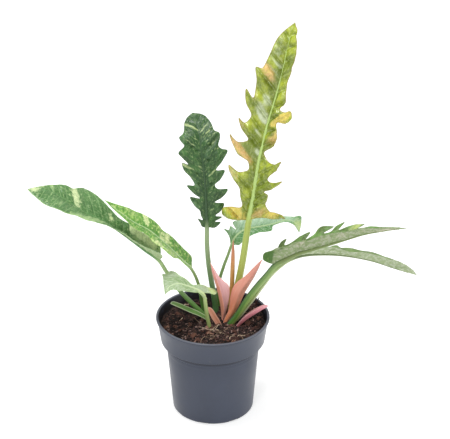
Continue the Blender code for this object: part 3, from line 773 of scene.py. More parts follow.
@dataclass
class Shape:
    """A mesh in the making: its points in millimetres, faces, UV maps and material numbers."""

    points: list[np.ndarray] = field(default_factory=list)
    faces: list[tuple[int, ...]] = field(default_factory=list)
    finish: list[int] = field(default_factory=list)
    maps: dict[Layer, list[np.ndarray]] = field(default_factory=dict)
    count: int = 0

    def add(self, points: np.ndarray, faces: list, maps: dict[Layer, np.ndarray], finish: int = 0) -> None:
        """Adds one closed shell.

        Args:
            points: its points in millimetres.
            faces: its faces by its own point numbers.
            maps: two numbers a point for each UV map.
            finish: the number of its material.
        """
        self.points.append(points)
        self.faces += [tuple(int(i) + self.count for i in face) for face in faces]
        self.finish += [finish] * len(faces)
        for which, values in maps.items():
            self.maps.setdefault(which, []).append(values)
        self.count += len(points)

    def build(self, name: str, materials: list[bpy.types.Material],
              smooth: bool = True) -> bpy.types.Object:
        """Makes the object.

        Args:
            name: the object's name.
            materials: its materials in order.
            smooth: whether its faces are shaded smooth.

        Returns:
            The object, in the scene.
        """
        mesh = bpy.data.meshes.new(name)
        mesh.from_pydata((np.concatenate(self.points) * MM).tolist(), [], self.faces)
        for item in materials:
            mesh.materials.append(item)
        mesh.polygons.foreach_set("material_index", self.finish)
        mesh.polygons.foreach_set("use_smooth", [smooth] * len(mesh.polygons))
        corners = np.empty(len(mesh.loops), dtype=np.int32)
        mesh.loops.foreach_get("vertex_index", corners)
        for which, values in self.maps.items():
            made = mesh.uv_layers.new(name=which.value, do_init=False)
            made.data.foreach_set("uv", np.concatenate(values)[corners].astype(np.float32).ravel())
        mesh.validate()
        mesh.update()
        obj = bpy.data.objects.new(name, mesh)
        bpy.context.scene.collection.objects.link(obj)
        return obj


def dress(obj: bpy.types.Object, slot: str, *nodes: str) -> bpy.types.Object:
    """Hangs a piece on the body that it rides on and hides the solids that it stands for.

    Args:
        obj: the piece.
        slot: the record's material slot; not used.
        nodes: the solids that it replaces.

    Returns:
        The piece.
    """
    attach(obj, BODY)
    if nodes:
        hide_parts(*nodes)
    return obj


def settle(obj: bpy.types.Object, sharp_deg: float) -> None:
    """Makes a piece's modifiers part of its mesh and shades it smooth between its sharp edges.

    Args:
        obj: the piece.
        sharp_deg: the angle in degrees from which an edge stays sharp.
    """
    bpy.context.view_layer.update()
    graph = bpy.context.evaluated_depsgraph_get()
    mesh = bpy.data.meshes.new_from_object(obj.evaluated_get(graph))
    obj.modifiers.clear()
    obj.data = mesh
    mesh.polygons.foreach_set("use_smooth", [True] * len(mesh.polygons))
    mesh.set_sharp_from_angle(angle=math.radians(sharp_deg))


def unite(first: bpy.types.Object, second: bpy.types.Object) -> None:
    """Joins two closed pieces into one solid; the second is removed.

    Args:
        first: the piece that stays.
        second: the piece that is joined to it.
    """
    step = first.modifiers.new("join", "BOOLEAN")
    step.operation = "UNION"
    step.solver = "MANIFOLD"
    step.object = second
    settle(first, LEAF_SHARP_DEG)
    bpy.data.objects.remove(second, do_unlink=True)


@dataclass
class Sheet:
    """A thin folded sheet grown to both sides of a line: a leaf's blade or a sheath.

    The margins and the fields from faces to wave are as in Leaf. Cell is the size of a triangle, lean how
    far a side vein runs forward for each millimetre out, quilt and pucker how strong the relief is, and
    vein_step how far apart the side veins start. The soft patches of tint are real colour patches and, on
    some leaves, painted highlights and painted shade; each has its middle (along, reach), its half sizes
    (across the veins, along them) and its share of the tint.
    """

    path: Path
    start: float
    left: Outline
    right: Outline
    faces: tuple[Triple, Triple]
    fold: tuple[float, float]
    curl: float
    wave: float
    thickness: float
    cell: float
    lean: float = 0.8
    quilt: float = 0.0
    pucker: float = 0.0
    vein_height: float = 0.0
    vein_step: float = 12.0
    stains_and_painted_light: dict[Tint, list[Patch]] = field(default_factory=dict)

    @property
    def length(self) -> float:
        """How long the sheet's middle line is."""
        return self.path.length - self.start

    def outline(self) -> np.ndarray:
        """Rounds the flat margin.

        Returns:
            Its corners as (along, reach), with reach below zero on the left.
        """
        left = [(0.0, -BASE_HALF_WIDTH)] + [(s, -t) for s, t in self.left] + [(self.length, 0.0)]
        right = [(self.length, 0.0)] + [(s, t) for s, t in reversed(self.right)] + [(0.0, BASE_HALF_WIDTH)]
        least = 0.5 * self.cell
        points = spaced(rounded(left, 10), least) + spaced(rounded(right, 10), least)[1:]
        return np.array([tuple(p) for p in points])

    def triangles(self) -> tuple[np.ndarray, np.ndarray, np.ndarray]:
        """Splits the flat sheet, with its middle line as a line of edges.

        Returns:
            The flat points, each one's distance from the margin, and the triangles.
        """
        margin = self.outline()
        cell = self.cell
        columns = np.arange(math.ceil(margin[:, 0].min() / cell), math.ceil(margin[:, 0].max() / cell) + 1)
        rows = np.arange(1, math.ceil(np.abs(margin[:, 1]).max() / (cell * ROW_SHARE)) + 1)
        across, up = np.meshgrid(columns, rows)
        x = (across + 0.5 * (up % 2)).ravel() * cell
        y = up.ravel() * cell * ROW_SHARE
        spots = np.concatenate([np.stack([x, y], axis=1), np.stack([x, -y], axis=1)])
        spots = spots[inside(spots, margin)]
        spots = spots[distance_to(spots, margin) > 0.4 * cell]
        count = round(self.length / cell)
        rib = np.stack([np.arange(count) * self.length / count, np.zeros(count)], axis=1)
        first = len(margin)
        tip = int(np.argmax(margin[:, 0]))
        edges = [(first + i, first + i + 1) for i in range(count - 1)] + [(first + count - 1, tip)]
        points = np.concatenate([margin, rib, spots])
        flat = [Vector(p) for p in points.tolist()]
        made = delaunay_2d_cdt(flat, edges, [list(range(first))], 1, MERGE_DISTANCE, False)
        found = np.array([tuple(p) for p in made[0]])
        faces = np.array([face for face in made[2] if len(face) == 3])
        faces = faces[inside(found[faces].mean(axis=1), margin)]
        return found, distance_to(found, margin), faces

    def foot(self, along: np.ndarray | float, out: np.ndarray | float) -> np.ndarray | float:
        """Where on the middle line the side vein through a flat point starts."""
        return along - self.lean * out - VEIN_BEND * out * out / WIDE

    def feet(self, side: Outline) -> np.ndarray:
        """Spaces the side veins of one half, so that one runs to the tip of every lobe.

        Args:
            side: that half's margin.

        Returns:
            Where along the middle line they start.
        """
        found = []
        for (_, t0), (s1, t1), (_, t2) in zip(side, side[1:], side[2:]):
            if t1 >= t0 and t1 > t2 and t1 > LOBE_REACH:
                foot = self.foot(s1, t1)
                if not found or foot > found[-1] + VEIN_GAP:
                    found.append(foot)
        marks = [-VEIN_BEFORE_BASE, *found, self.length + VEIN_PAST_TIP]
        feet = []
        for low, high in zip(marks, marks[1:]):
            parts = max(1, round((high - low) / self.vein_step))
            feet += [low + (high - low) * i / parts for i in range(parts)]
        return np.array(feet + [marks[-1]])

    def veins(self, flat: np.ndarray) -> np.ndarray:
        """Numbers flat points among the side veins.

        Args:
            flat: the flat points.

        Returns:
            Each point's number, which is whole on a vein.
        """
        foot = self.foot(flat[:, 0], np.abs(flat[:, 1]))
        left, right = (np.interp(foot, feet, np.arange(len(feet)))
                       for feet in (self.feet(self.left), self.feet(self.right)))
        return np.where(flat[:, 1] < 0, left, right)

    def lay(self, flat: np.ndarray) -> np.ndarray:
        """Folds, curls and waves the flat sheet along its line.

        Args:
            flat: flat points of the sheet.

        Returns:
            Where they come to lie in space.
        """
        along, reach = flat[:, 0], flat[:, 1]
        share = np.clip(along / self.length, 0.0, 1.0)[:, None]
        ahead = self.path.heading(self.start + np.maximum(along, 0.0), self.start)
        face = np.array(self.faces[0]) * (1.0 - share) + np.array(self.faces[1]) * share
        up = unit(face - ahead * (face * ahead).sum(axis=1, keepdims=True))
        out = np.cross(ahead, up)
        fold = self.fold[0] + (self.fold[1] - self.fold[0]) * share[:, 0]
        angle = np.radians(fold + self.curl * np.abs(reach) / WIDE)
        shift = np.where(reach < 0, 0.0, WAVE_SHIFT)
        wave = self.wave * np.sin(2 * math.pi * along / WAVE_LENGTH + shift)
        rise = np.abs(reach) * np.sin(angle) + wave * (reach / WIDE) ** 2
        base = self.path.at(self.start + np.maximum(along, 0.0)) + ahead * np.minimum(along, 0.0)[:, None]
        return base + out * (reach * np.cos(angle))[:, None] + up * rise[:, None]

    def relief(self, flat: np.ndarray, edge: np.ndarray, vein: np.ndarray) -> np.ndarray:
        """Measures how far the sheet swells between its veins and puckers.

        Args:
            flat: flat points of the sheet.
            edge: their distances from the margin.
            vein: their numbers among the side veins.

        Returns:
            How far each point rises from the plain sheet, in millimetres.
        """
        out = np.abs(flat[:, 1])
        share = vein - np.floor(vein)
        swell = np.sin(math.pi * share ** 0.75) ** 0.8 - 0.5
        swell += 0.3 * np.abs(np.sin(2 * math.pi * vein)) ** 0.8
        ramp = np.clip(out / 6.0, 0.0, 1.0) * np.clip(edge / 4.0, 0.0, 1.0)
        broad = np.array([noise.noise(Vector((0.07 * x, 0.07 * y, self.start + 4.0))) for x, y in flat])
        small = np.array([noise.noise(Vector((0.19 * x, 0.19 * y, self.start))) for x, y in flat])
        pleat = np.array([noise.noise(Vector((2.3 * v, 0.05 * abs(y), 9.0 if y < 0 else 3.0)))
                          for v, y in zip(vein, flat[:, 1])])
        hold = np.clip(out / 5.0, 0.15, 1.0)
        return self.quilt * (swell + 1.1 * pleat) * ramp + self.pucker * (broad + 0.55 * small) * hold

    def marks(self, flat: np.ndarray) -> np.ndarray:
        """Sums the patches of tint: real colour patches, painted highlights and painted shade.

        Args:
            flat: flat points of the sheet.

        Returns:
            How warm, cream, deep and pale each point is, from 0 to 1.
        """
        foot = flat[:, 0] - self.lean * np.abs(flat[:, 1])
        found = np.zeros((len(flat), len(Tint)))
        for column, tint in enumerate(Tint):
            for along, reach, across, length, share in self.stains_and_painted_light.get(tint, []):
                away = ((foot - along + self.lean * abs(reach)) / across) ** 2
                away += ((flat[:, 1] - reach) / length) ** 2
                found[:, column] += np.exp(-away) * share
        return np.clip(found, 0.0, 1.0)

    def fill(self, shape: Shape, finish: int = 0) -> None:
        """Adds the sheet to a shape as one closed shell.

        Args:
            shape: the shape that it is added to.
            finish: the number of its material.
        """
        flat, edge, faces = self.triangles()
        vein = self.veins(flat)
        middle = self.lay(flat)
        a, b, c = (middle[faces[:, k]] for k in range(3))
        normals = np.zeros_like(middle)
        for k in range(3):
            np.add.at(normals, faces[:, k], np.cross(b - a, c - a))
        normals = unit(normals)
        wanted = np.array(self.faces[0]) + np.array(self.faces[1])
        if (normals @ wanted).sum() < 0.0:
            faces = faces[:, ::-1]
            normals = -normals
        middle = middle + normals * self.relief(flat, edge, vein)[:, None]
        full = MARGIN_SHARE + (1.0 - MARGIN_SHARE) * np.clip(edge / MARGIN_SPAN, 0.0, 1.0)
        half = 0.5 * self.thickness * full
        near = (vein - np.round(vein)) / VEIN_HALF_WIDTH
        ridge = self.vein_height * np.exp(-near * near) * np.clip(edge / 6.0, 0.0, 1.0)
        top = middle + normals * half[:, None]
        bottom = middle - normals * (half + ridge)[:, None]
        count = len(flat)
        shell = [tuple(face) for face in faces.tolist()]
        shell += [(c + count, b + count, a + count) for a, b, c in faces.tolist()]
        used = {(a, b) for face in faces.tolist() for a, b in zip(face, face[1:] + face[:1])}
        shell += [(b, a, a + count, b + count) for a, b in used if (b, a) not in used]
        side = np.concatenate([np.ones(count), np.zeros(count)])
        twice = np.concatenate([flat, flat])
        marks = self.marks(twice)
        maps = {
            Layer.BLADE: MAP_LENGTH * twice,
            Layer.VEINS: np.stack([MAP_FINE * np.tile(vein, 2), np.abs(twice[:, 1]) / WIDE], axis=1),
            Layer.SKIN: np.stack([MAP_FINE * np.tile(edge, 2), side], axis=1),
            Layer.STAIN: marks[:, :2],
            Layer.TONE: marks[:, 2:],
        }
        shape.add(np.concatenate([top, bottom]), shell, maps, finish)


def bar(path: Path, distances: np.ndarray, radii: np.ndarray, face: Triple, sides: int,
        groove: float) -> tuple[np.ndarray, list, np.ndarray]:
    """A tapering stalk along a path, with a shallow groove on one side.

    Args:
        path: the line that it follows.
        distances: where its rings lie along the path.
        radii: the radius at each ring.
        face: the way that the groove looks.
        sides: how many sides it has.
        groove: how deep the groove is, as a share of the radius.

    Returns:
        Its points, its faces, and for each point the distance along and the turn round it from 0 to 1.
    """
    centre = path.at(distances)
    ahead = unit(path.at(distances + RING_STEP) - path.at(distances - RING_STEP))
    toward = np.array(face)
    up = unit(toward - ahead * (ahead @ toward)[:, None])
    out = np.cross(ahead, up)
    turns = 2 * math.pi * np.arange(sides) / sides
    away = np.minimum(turns, 2 * math.pi - turns)
    size = 1.0 - groove * np.exp(-(away / GROOVE_TURN) ** 2)
    ring = up[:, None, :] * (np.cos(turns) * size)[None, :, None]
    ring = ring + out[:, None, :] * (np.sin(turns) * size)[None, :, None]
    points = (centre[:, None, :] + ring * radii[:, None, None]).reshape(-1, 3)
    faces = []
    for i in range(len(distances) - 1):
        for j in range(sides):
            k = (j + 1) % sides
            faces.append((i * sides + j, (i + 1) * sides + j, (i + 1) * sides + k, i * sides + k))
    last = len(points)
    points = np.concatenate([points, centre[:1], centre[-1:]])
    top = (len(distances) - 1) * sides
    for j in range(sides):
        k = (j + 1) % sides
        faces.append((j, k, last))
        faces.append((top + k, top + j, last + 1))
    values = np.stack([np.repeat(distances, sides), np.tile(away / math.pi, len(distances))], axis=1)
    values = np.concatenate([values, [[distances[0], 0.0], [distances[-1], 0.0]]])
    return points, faces, values


def strand(shape: Shape, line: Line, radii: np.ndarray, face: Triple, sides: int, tone: float) -> None:
    """Adds a thin round fibre or stem to a shape.

    Args:
        shape: the shape that it is added to.
        line: the points that it runs through.
        radii: its radii from end to end.
        face: the way that its first corner looks.
        sides: how many sides it has.
        tone: how pale it is, from 0 to 1.
    """
    path = Path(line, per_span=6)
    points, faces, _ = bar(path, np.linspace(0.0, path.length, len(radii)), radii, face, sides, groove=0.0)
    shape.add(points, faces, {Layer.BLADE: np.full((len(points), 2), tone)})


@dataclass
class Leaf:
    """One leaf: a stalk that runs on as the midrib, with a lobed blade to both sides of it.

    Stalk and rib are points from the crown to the blade and from there to the tip, and radii those at the
    crown, at the blade and at the tip. Left and right list the margin as (distance along the rib, reach out
    from it). Faces hold the way that the upper face looks at the blade's base and tip, and fold how many
    degrees each half rises from flat there. Curl is how many more it rises at the reach WIDE, and wave how
    far it swings there. The others are as in Sheet.
    """

    name: str
    slot: Slot
    blade: BladeFinish
    skin: StalkFinish
    stalk: Line
    rib: Line
    radii: tuple[float, float, float]
    left: Outline
    right: Outline
    faces: tuple[Triple, Triple]
    fold: tuple[float, float]
    curl: float
    wave: float
    lean: float = 0.8
    quilt: float = 0.8
    pucker: float = 0.7
    cell: float = 1.7
    vein_step: float = 12.0
    stains_and_painted_light: dict[Tint, list[Patch]] = field(default_factory=dict)

    def radius(self, distance: np.ndarray, start: float, end: float) -> np.ndarray:
        """Measures the stalk up to the blade and then the midrib, which thins fast and then slowly.

        Args:
            distance: how far along stalk and rib.
            start: where the blade starts.
            end: where the midrib ends.

        Returns:
            The radius at each distance.
        """
        bottom, top, tip = self.radii
        stalk = bottom + (top - bottom) * distance / start
        share = np.clip((distance - start) / (end - start), 0.0, 1.0)
        return np.where(distance <= start, stalk, tip + (top - tip) * (1.0 - share) ** RIB_TAPER)

    def build(self) -> bpy.types.Object:
        """Makes the leaf in place of its solid.

        Returns:
            The piece.
        """
        path = Path(self.stalk + self.rib)
        start = path.distance_to(len(self.stalk) - 1)
        sheet = Sheet(path, start, self.left, self.right, self.faces, self.fold, self.curl, self.wave,
                      thickness=BLADE_THICKNESS, cell=self.cell, lean=self.lean, quilt=self.quilt,
                      pucker=self.pucker, vein_height=VEIN_HEIGHT, vein_step=self.vein_step,
                      stains_and_painted_light=self.stains_and_painted_light)
        materials = [self.blade.build(self.name + "_blade"), self.skin.build(self.name + "_stalk", start)]
        blade = Shape()
        sheet.fill(blade)
        piece = blade.build("fine_" + self.name, materials)
        end = start + RIB_END * sheet.length
        rings = np.linspace(0.0, end, round(end / RING_STEP))
        radii = self.radius(rings, start, end)
        points, faces, values = bar(path, rings, radii, self.faces[0], STALK_SIDES, GROOVE_DEPTH)
        stem = Shape()
        blank = np.zeros((len(points), 2))
        maps = {which: blank for which in Layer}
        maps[Layer.BLADE] = values * np.array([[MAP_LENGTH, 1.0]])
        stem.add(points, faces, maps, 1)
        unite(piece, stem.build("stem", materials))
        return dress(piece, self.slot.value, self.name)


@dataclass
class Sheath:
    """One folded leaf sheath: a pointed strap along a line, its hollow side looking along its face.

    Left and right list its margin as (share of the line's length, reach out from it), and where right isn't
    given it is as left. Fold and curl are as in Leaf.
    """

    name: str
    finish: SheathFinish
    line: Line
    left: Outline
    face: Triple
    fold: tuple[float, float]
    right: Outline = field(default_factory=list)
    curl: float = 12.0
    slot: Slot = Slot.SHEATH_PINK

    def build(self) -> bpy.types.Object:
        """Makes the sheath in place of its solid.

        Returns:
            The piece.
        """
        path = Path(self.line)
        left, right = ([(max(SHEATH_FOOT, share * path.length), reach) for share, reach in side]
                       for side in (self.left, self.right or self.left))
        sheet = Sheet(path, 0.0, left, right, (self.face, self.face), self.fold, self.curl, wave=0.0,
                      thickness=SHEATH_THICKNESS, cell=SHEATH_CELL)
        shape = Shape()
        sheet.fill(shape)
        piece = shape.build("fine_" + self.name, [self.finish.build(self.name + "_skin", path.length)])
        return dress(piece, self.slot.value, self.name)


DARK_BLADE = BladeFinish(
    upper=(0.0432, 0.124, 0.0288), deep=(0.016, 0.058, 0.014), vein=(0.089, 0.188, 0.061),
    under=(0.117, 0.202, 0.084), mottle=(0.195, 0.296, 0.138), margin=(0.045, 0.102, 0.027),
    fleck=(0.24, 0.36, 0.13), cream=(0.44, 0.53, 0.24), pale=(0.12, 0.23, 0.12), fleck_share=0.55,
    vein_share=0.25, roughness=0.34)
# Painted shade: its strong share of darkening along the veins stands in for the shade in its deep folds.
YOUNG_BLADE = BladeFinish(
    upper=(0.365, 0.43, 0.026), deep=(0.135, 0.188, 0.007), vein=(0.5, 0.6, 0.18),
    under=(0.413, 0.479, 0.107), mottle=(0.503, 0.527, 0.138), margin=(0.262, 0.175, 0.03),
    fleck=(0.62, 0.66, 0.29), warm=(0.825, 0.491, 0.2), cream=(0.7, 0.53, 0.11),
    pale=(0.6, 0.67, 0.48), fleck_share=0.25, vein_share=0.3, furrow_shade_share=0.75, roughness=0.24, gloss=0.6)
MID_BLADE = BladeFinish(
    upper=(0.071, 0.18, 0.05), deep=(0.043, 0.135, 0.031), vein=(0.24, 0.4, 0.16),
    under=(0.27, 0.361, 0.162), mottle=(0.381, 0.479, 0.246), margin=(0.305, 0.468, 0.181),
    fleck=(0.43, 0.56, 0.26), cream=(0.62, 0.71, 0.38), pale=(0.3, 0.43, 0.19),
    mosaic_share=0.45, fleck_share=0.35, speckle_share=0.55, roughness=0.34)
BRIGHT_BLADE = BladeFinish(
    upper=(0.15, 0.35, 0.052), deep=(0.062, 0.21, 0.03), vein=(0.3, 0.48, 0.13),
    under=(0.352, 0.479, 0.188), mottle=(0.479, 0.578, 0.287), margin=(0.279, 0.479, 0.117),
    fleck=(0.46, 0.58, 0.2), cream=(0.64, 0.7, 0.36), pale=(0.3, 0.42, 0.14),
    mosaic_share=0.75, fleck_share=0.4, speckle_share=0.4, roughness=0.34)
SILVER_BLADE = BladeFinish(
    upper=(0.32, 0.41, 0.25), deep=(0.19, 0.3, 0.12), vein=(0.552, 0.62, 0.434),
    under=(0.305, 0.423, 0.202), mottle=(0.434, 0.539, 0.305), margin=(0.352, 0.491, 0.223),
    fleck=(0.631, 0.716, 0.552), pale=(0.45, 0.58, 0.2), fleck_share=0.6, roughness=0.38)
BLUE_BLADE = BladeFinish(
    upper=(0.185, 0.345, 0.158), deep=(0.065, 0.21, 0.048), vein=(0.402, 0.565, 0.332),
    under=(0.246, 0.371, 0.195), mottle=(0.342, 0.468, 0.296), margin=(0.156, 0.305, 0.102),
    fleck=(0.658, 0.761, 0.658), cream=(0.468, 0.578, 0.202), pale=(0.352, 0.521, 0.356), fleck_share=0.3,
    speckle_share=0.55, roughness=0.3)
# Its warm colour here is a dark green: painted shade in the curled basal lobe and its crease.
BACK_BLADE = BladeFinish(
    upper=(0.122, 0.27, 0.051), deep=(0.054, 0.107, 0.016), vein=(0.162, 0.223, 0.089),
    under=(0.21, 0.28, 0.12), mottle=(0.37, 0.4, 0.275), margin=(0.156, 0.223, 0.08),
    fleck=(0.402, 0.479, 0.202), warm=(0.045, 0.13, 0.012), cream=(0.617, 0.552, 0.445),
    pale=(0.434, 0.515, 0.156), fleck_share=0.4)
FALLEN_BLADE = BladeFinish(
    upper=(0.188, 0.305, 0.089), deep=(0.089, 0.162, 0.034), vein=(0.223, 0.305, 0.138),
    under=(0.3, 0.38, 0.19), mottle=(0.49, 0.54, 0.39), margin=(0.231, 0.287, 0.15),
    fleck=(0.456, 0.527, 0.262), cream=(0.672, 0.617, 0.527), pale=(0.479, 0.565, 0.223), fleck_share=0.4)

GREY_STALK = StalkFinish((0.08, 0.2, 0.07), (0.3, 0.4, 0.2), (0.025, 0.07, 0.022), (0.16, 0.26, 0.12), 0.2)
OLIVE_STALK = StalkFinish((0.32, 0.36, 0.06), (0.4, 0.5, 0.11), (0.46, 0.62, 0.2), (0.26, 0.24, 0.05), 0.4)
FRESH_STALK = StalkFinish((0.1, 0.25, 0.05), (0.26, 0.38, 0.15), (0.4, 0.54, 0.28), (0.16, 0.33, 0.08))
LIME_STALK = StalkFinish((0.34, 0.44, 0.15), (0.46, 0.58, 0.24), (0.5, 0.6, 0.36), (0.24, 0.36, 0.1))
# Painted shade and painted light: these two stalks darken their grooved flank and lighten their far side,
# as light falls across them.
DEEP_STALK = StalkFinish(
    (0.065, 0.17, 0.022), (0.15, 0.25, 0.07), (0.16, 0.21, 0.06), (0.04, 0.12, 0.025), 0.4,
    above=(0.03, 0.09, 0.045), beneath=(0.21, 0.33, 0.08), flank_share=0.9)
LIT_EDGE_STALK = StalkFinish(
    (0.25, 0.36, 0.1), (0.33, 0.42, 0.18), (0.12, 0.17, 0.06), (0.17, 0.29, 0.07),
    above=(0.14, 0.26, 0.05), beneath=(0.56, 0.61, 0.38), flank_share=0.9)
DARK_RIB_STALK = StalkFinish((0.1, 0.25, 0.05), (0.28, 0.4, 0.16), (0.09, 0.22, 0.07), (0.16, 0.33, 0.08))

PINK_SHEATH = SheathFinish(
    base=(0.66, 0.23, 0.11), middle=(0.7, 0.29, 0.21), tip=(0.6, 0.24, 0.2), inner=(0.62, 0.36, 0.36),
    margin=(0.66, 0.3, 0.24), line=(0.74, 0.42, 0.3))
# Its inner face is lighter than its own lilac colour: partly painted light, filling the shade inside the
# fold.
SALMON_SHEATH = SheathFinish(
    base=(0.93, 0.4, 0.27), middle=(0.93, 0.35, 0.25), tip=(0.78, 0.24, 0.2), inner=(0.96, 0.68, 0.73),
    margin=(0.86, 0.42, 0.36), line=(0.82, 0.4, 0.34))
ORANGE_SHEATH = SheathFinish(
    base=(0.78, 0.47, 0.13), middle=(0.62, 0.34, 0.1), tip=(0.55, 0.15, 0.11), inner=(0.5, 0.28, 0.11),
    margin=(0.55, 0.26, 0.12), line=(0.56, 0.3, 0.12))
SHORT_SHEATH = SheathFinish(
    base=(0.55, 0.25, 0.15), middle=(0.66, 0.26, 0.15), tip=(0.92, 0.39, 0.26), inner=(0.66, 0.29, 0.19),
    margin=(0.9, 0.5, 0.36), line=(0.9, 0.44, 0.3))
ROSE_SHEATH = SheathFinish(
    base=(0.52, 0.15, 0.12), middle=(0.68, 0.24, 0.27), tip=(0.74, 0.31, 0.35), inner=(0.7, 0.32, 0.36),
    margin=(0.76, 0.4, 0.43), line=(0.46, 0.12, 0.14))
GREEN_SHEATH = SheathFinish(
    base=(0.1, 0.2, 0.05), middle=(0.14, 0.28, 0.07), tip=(0.28, 0.42, 0.15), inner=(0.08, 0.19, 0.045),
    margin=(0.62, 0.72, 0.46), line=(0.22, 0.38, 0.11))

# The near-black colour is painted shade under the lip and collar and on the inner wall, with a smear of
# soil there; the rim colour is a painted highlight on the lip's top.
POT_PLASTIC = PlasticFinish(
    colour=(0.036, 0.044, 0.068), dust=(0.13, 0.115, 0.1), shade_and_soil=(0.009, 0.008, 0.009),
    rim=(0.16, 0.165, 0.19), roughness=0.36)
PEAT = EarthFinish((0.007, 0.004, 0.0035), (0.038, 0.02, 0.016), (0.12, 0.07, 0.055))
CRUMB = EarthFinish((0.018, 0.01, 0.009), (0.095, 0.05, 0.042), (0.29, 0.19, 0.165), 0.78)
BARK = EarthFinish((0.04, 0.016, 0.012), (0.12, 0.052, 0.035), (0.3, 0.17, 0.12), 0.9)
ROOT = EarthFinish((0.03, 0.02, 0.014), (0.3, 0.2, 0.13), (0.72, 0.56, 0.4), 0.72, 0.75, 0.1)
STOCK = EarthFinish((0.05, 0.03, 0.02), (0.16, 0.1, 0.05), (0.3, 0.2, 0.1))


@dataclass
class Pot:
    """The nursery pot: a tapered cup with a stepped collar, a lip, a raised floor and drain slots.

    Lines are the fine raised ones on its body as (height over the lowest, depth), and corner is the radius
    of its lip's and collar's rounded edges.
    """

    height: float = 127.5
    wall: float = 1.5
    foot_inner_radius: float = 42.0
    foot_radius: float = 48.0
    body_bottom_radius: float = 50.2
    body_top_radius: float = 58.2
    ridge_height: float = 83.0
    ledge_height: float = 96.0
    collar_bottom_radius: float = 64.4
    collar_top_radius: float = 68.4
    lip_height: float = 124.9
    lip_radius: float = 70.0
    floor_bottom: float = 3.2
    floor_top: float = 5.0
    hub_radius: float = 24.0
    hub_top: float = 1.8
    drains: int = 8
    drain_first_deg: float = -104.0
    drain_width: float = 13.0
    notch_height: float = 2.6
    slot_inner: float = 33.0
    lines: Outline = field(default_factory=lambda: [(9.5, 0.15), (5.0, 0.1), (0.0, 0.04)])
    corner: float = 0.7
    steps: int = 144

    def body_radius(self, height: float) -> float:
        """The outer radius on the tapered body."""
        taper = self.body_top_radius - self.body_bottom_radius
        return self.body_bottom_radius + taper * height / self.ledge_height

    def inner_radius(self, height: float) -> float:
        """Measures the hollow.

        Args:
            height: a height above the floor.

        Returns:
            The inner radius there.
        """
        step = self.ledge_height + self.wall
        if height < step:
            share = (height - self.floor_top) / (step - self.floor_top)
            bottom = self.body_bottom_radius - self.wall
            return bottom + (self.body_top_radius - self.wall - bottom) * share
        share = (height - step) / (self.height - step)
        bottom = self.collar_bottom_radius - self.wall
        return bottom + (self.collar_top_radius - self.wall - bottom) * share

    def section(self) -> Outline:
        """Lists the section from the lip's top down the outer side, under the floor and up the inner side.

        Returns:
            Its corners as (radius, height).
        """
        step = self.ledge_height + self.wall
        lines = []
        for ring, depth in self.lines:
            z = self.ridge_height + ring
            r = self.body_radius(z)
            lines += [(r + 0.1, z + 0.6), (r + 0.1 + depth, z + 0.2), (r - depth, z - 0.3), (r, z - 0.8)]
        lines.sort(key=lambda point: -point[1])
        bend = [(self.corner * (1.0 - math.cos(a)), self.corner * (1.0 - math.sin(a)))
                for a in (0.0, 0.4, 0.8, 1.2, math.pi / 2)]
        upper = [(self.lip_radius - x, self.height - y) for x, y in reversed(bend)]
        lower = [(self.lip_radius - x, self.lip_height + y) for x, y in bend]
        shelf = [(self.collar_bottom_radius - x, self.ledge_height + y) for x, y in bend]
        return [
            (self.collar_top_radius + 0.2, self.height),
            *upper, *lower,
            (self.collar_top_radius + 0.2, self.lip_height),
            (self.collar_top_radius - 0.1, self.lip_height - 0.5),
            *shelf,
            (self.body_radius(self.ledge_height) + 0.5, self.ledge_height),
            (self.body_radius(self.ledge_height), self.ledge_height - 0.6),
            *lines,
            *[(self.body_radius(z), z) for z in (60.0, 36.0, 16.0, 7.0, 3.4)],
            (self.body_radius(2.4), 2.4),
            (self.body_radius(2.4) - 0.6, 1.4),
            (self.foot_radius, 0.0),
            (self.foot_inner_radius, 0.0),
            (self.foot_inner_radius - 1.0, self.floor_bottom),
            (self.hub_radius + 1.0, self.floor_bottom),
            (self.hub_radius, 0.0),
            (0.0, 0.0),
            (0.0, self.hub_top),
            (self.hub_radius - 2.4, self.hub_top),
            (self.hub_radius - 1.4, self.floor_top),
            (self.inner_radius(self.floor_top), self.floor_top),
            (self.inner_radius(step - 0.01), step - 1.0),
            (self.inner_radius(step) - 1.0, step),
            (self.inner_radius(step), step + 1.0),
            (self.inner_radius(self.height), self.height - 0.9),
            (self.inner_radius(self.height) + 0.3, self.height - 0.2),
        ]

    def turned(self) -> bpy.types.Object:
        """Turns the section into a closed cup, before the drains are cut.

        Returns:
            The cup.
        """
        shape = Shape()
        points, rows = [], []
        for r, z in self.section():
            if r < 1e-6:
                rows.append([len(points)] * self.steps)
                points.append((0.0, 0.0, z))
                continue
            rows.append([len(points) + j for j in range(self.steps)])
            for j in range(self.steps):
                turn = 2 * math.pi * j / self.steps
                points.append((r * math.cos(turn), r * math.sin(turn), z))
        faces = []
        for low, high in zip(rows, rows[1:] + rows[:1]):
            for j in range(self.steps):
                k = (j + 1) % self.steps
                face = list(dict.fromkeys((low[j], high[j], high[k], low[k])))
                if len(face) > 2:
                    faces.append(tuple(face))
        shape.add(np.array(points), faces, {})
        step = self.ledge_height + self.wall
        slope = (self.inner_radius(self.height) - self.inner_radius(step)) / (self.height - step)
        inner = (self.inner_radius(step) - slope * step) * MM
        return shape.build("fine_pot", [POT_PLASTIC.build("pot_plastic_grain", inner, slope)])

    def cutter(self, low: Triple, high: Triple, turn: float) -> bpy.types.Object:
        """Makes a box that cuts a drain.

        Args:
            low: its lowest corner before the turn.
            high: its highest corner before the turn.
            turn: the angle about Z, in degrees.

        Returns:
            The box, not yet in the scene.
        """
        mesh = bpy.data.meshes.new("drain")
        work = bmesh.new()
        bmesh.ops.create_cube(work, size=1.0)
        for vertex in work.verts:
            vertex.co = Vector([(a + (b - a) * (c + 0.5)) * MM for a, b, c in zip(low, high, vertex.co)])
        work.to_mesh(mesh)
        work.free()
        obj = bpy.data.objects.new("drain", mesh)
        obj.rotation_euler.z = math.radians(turn)
        return obj

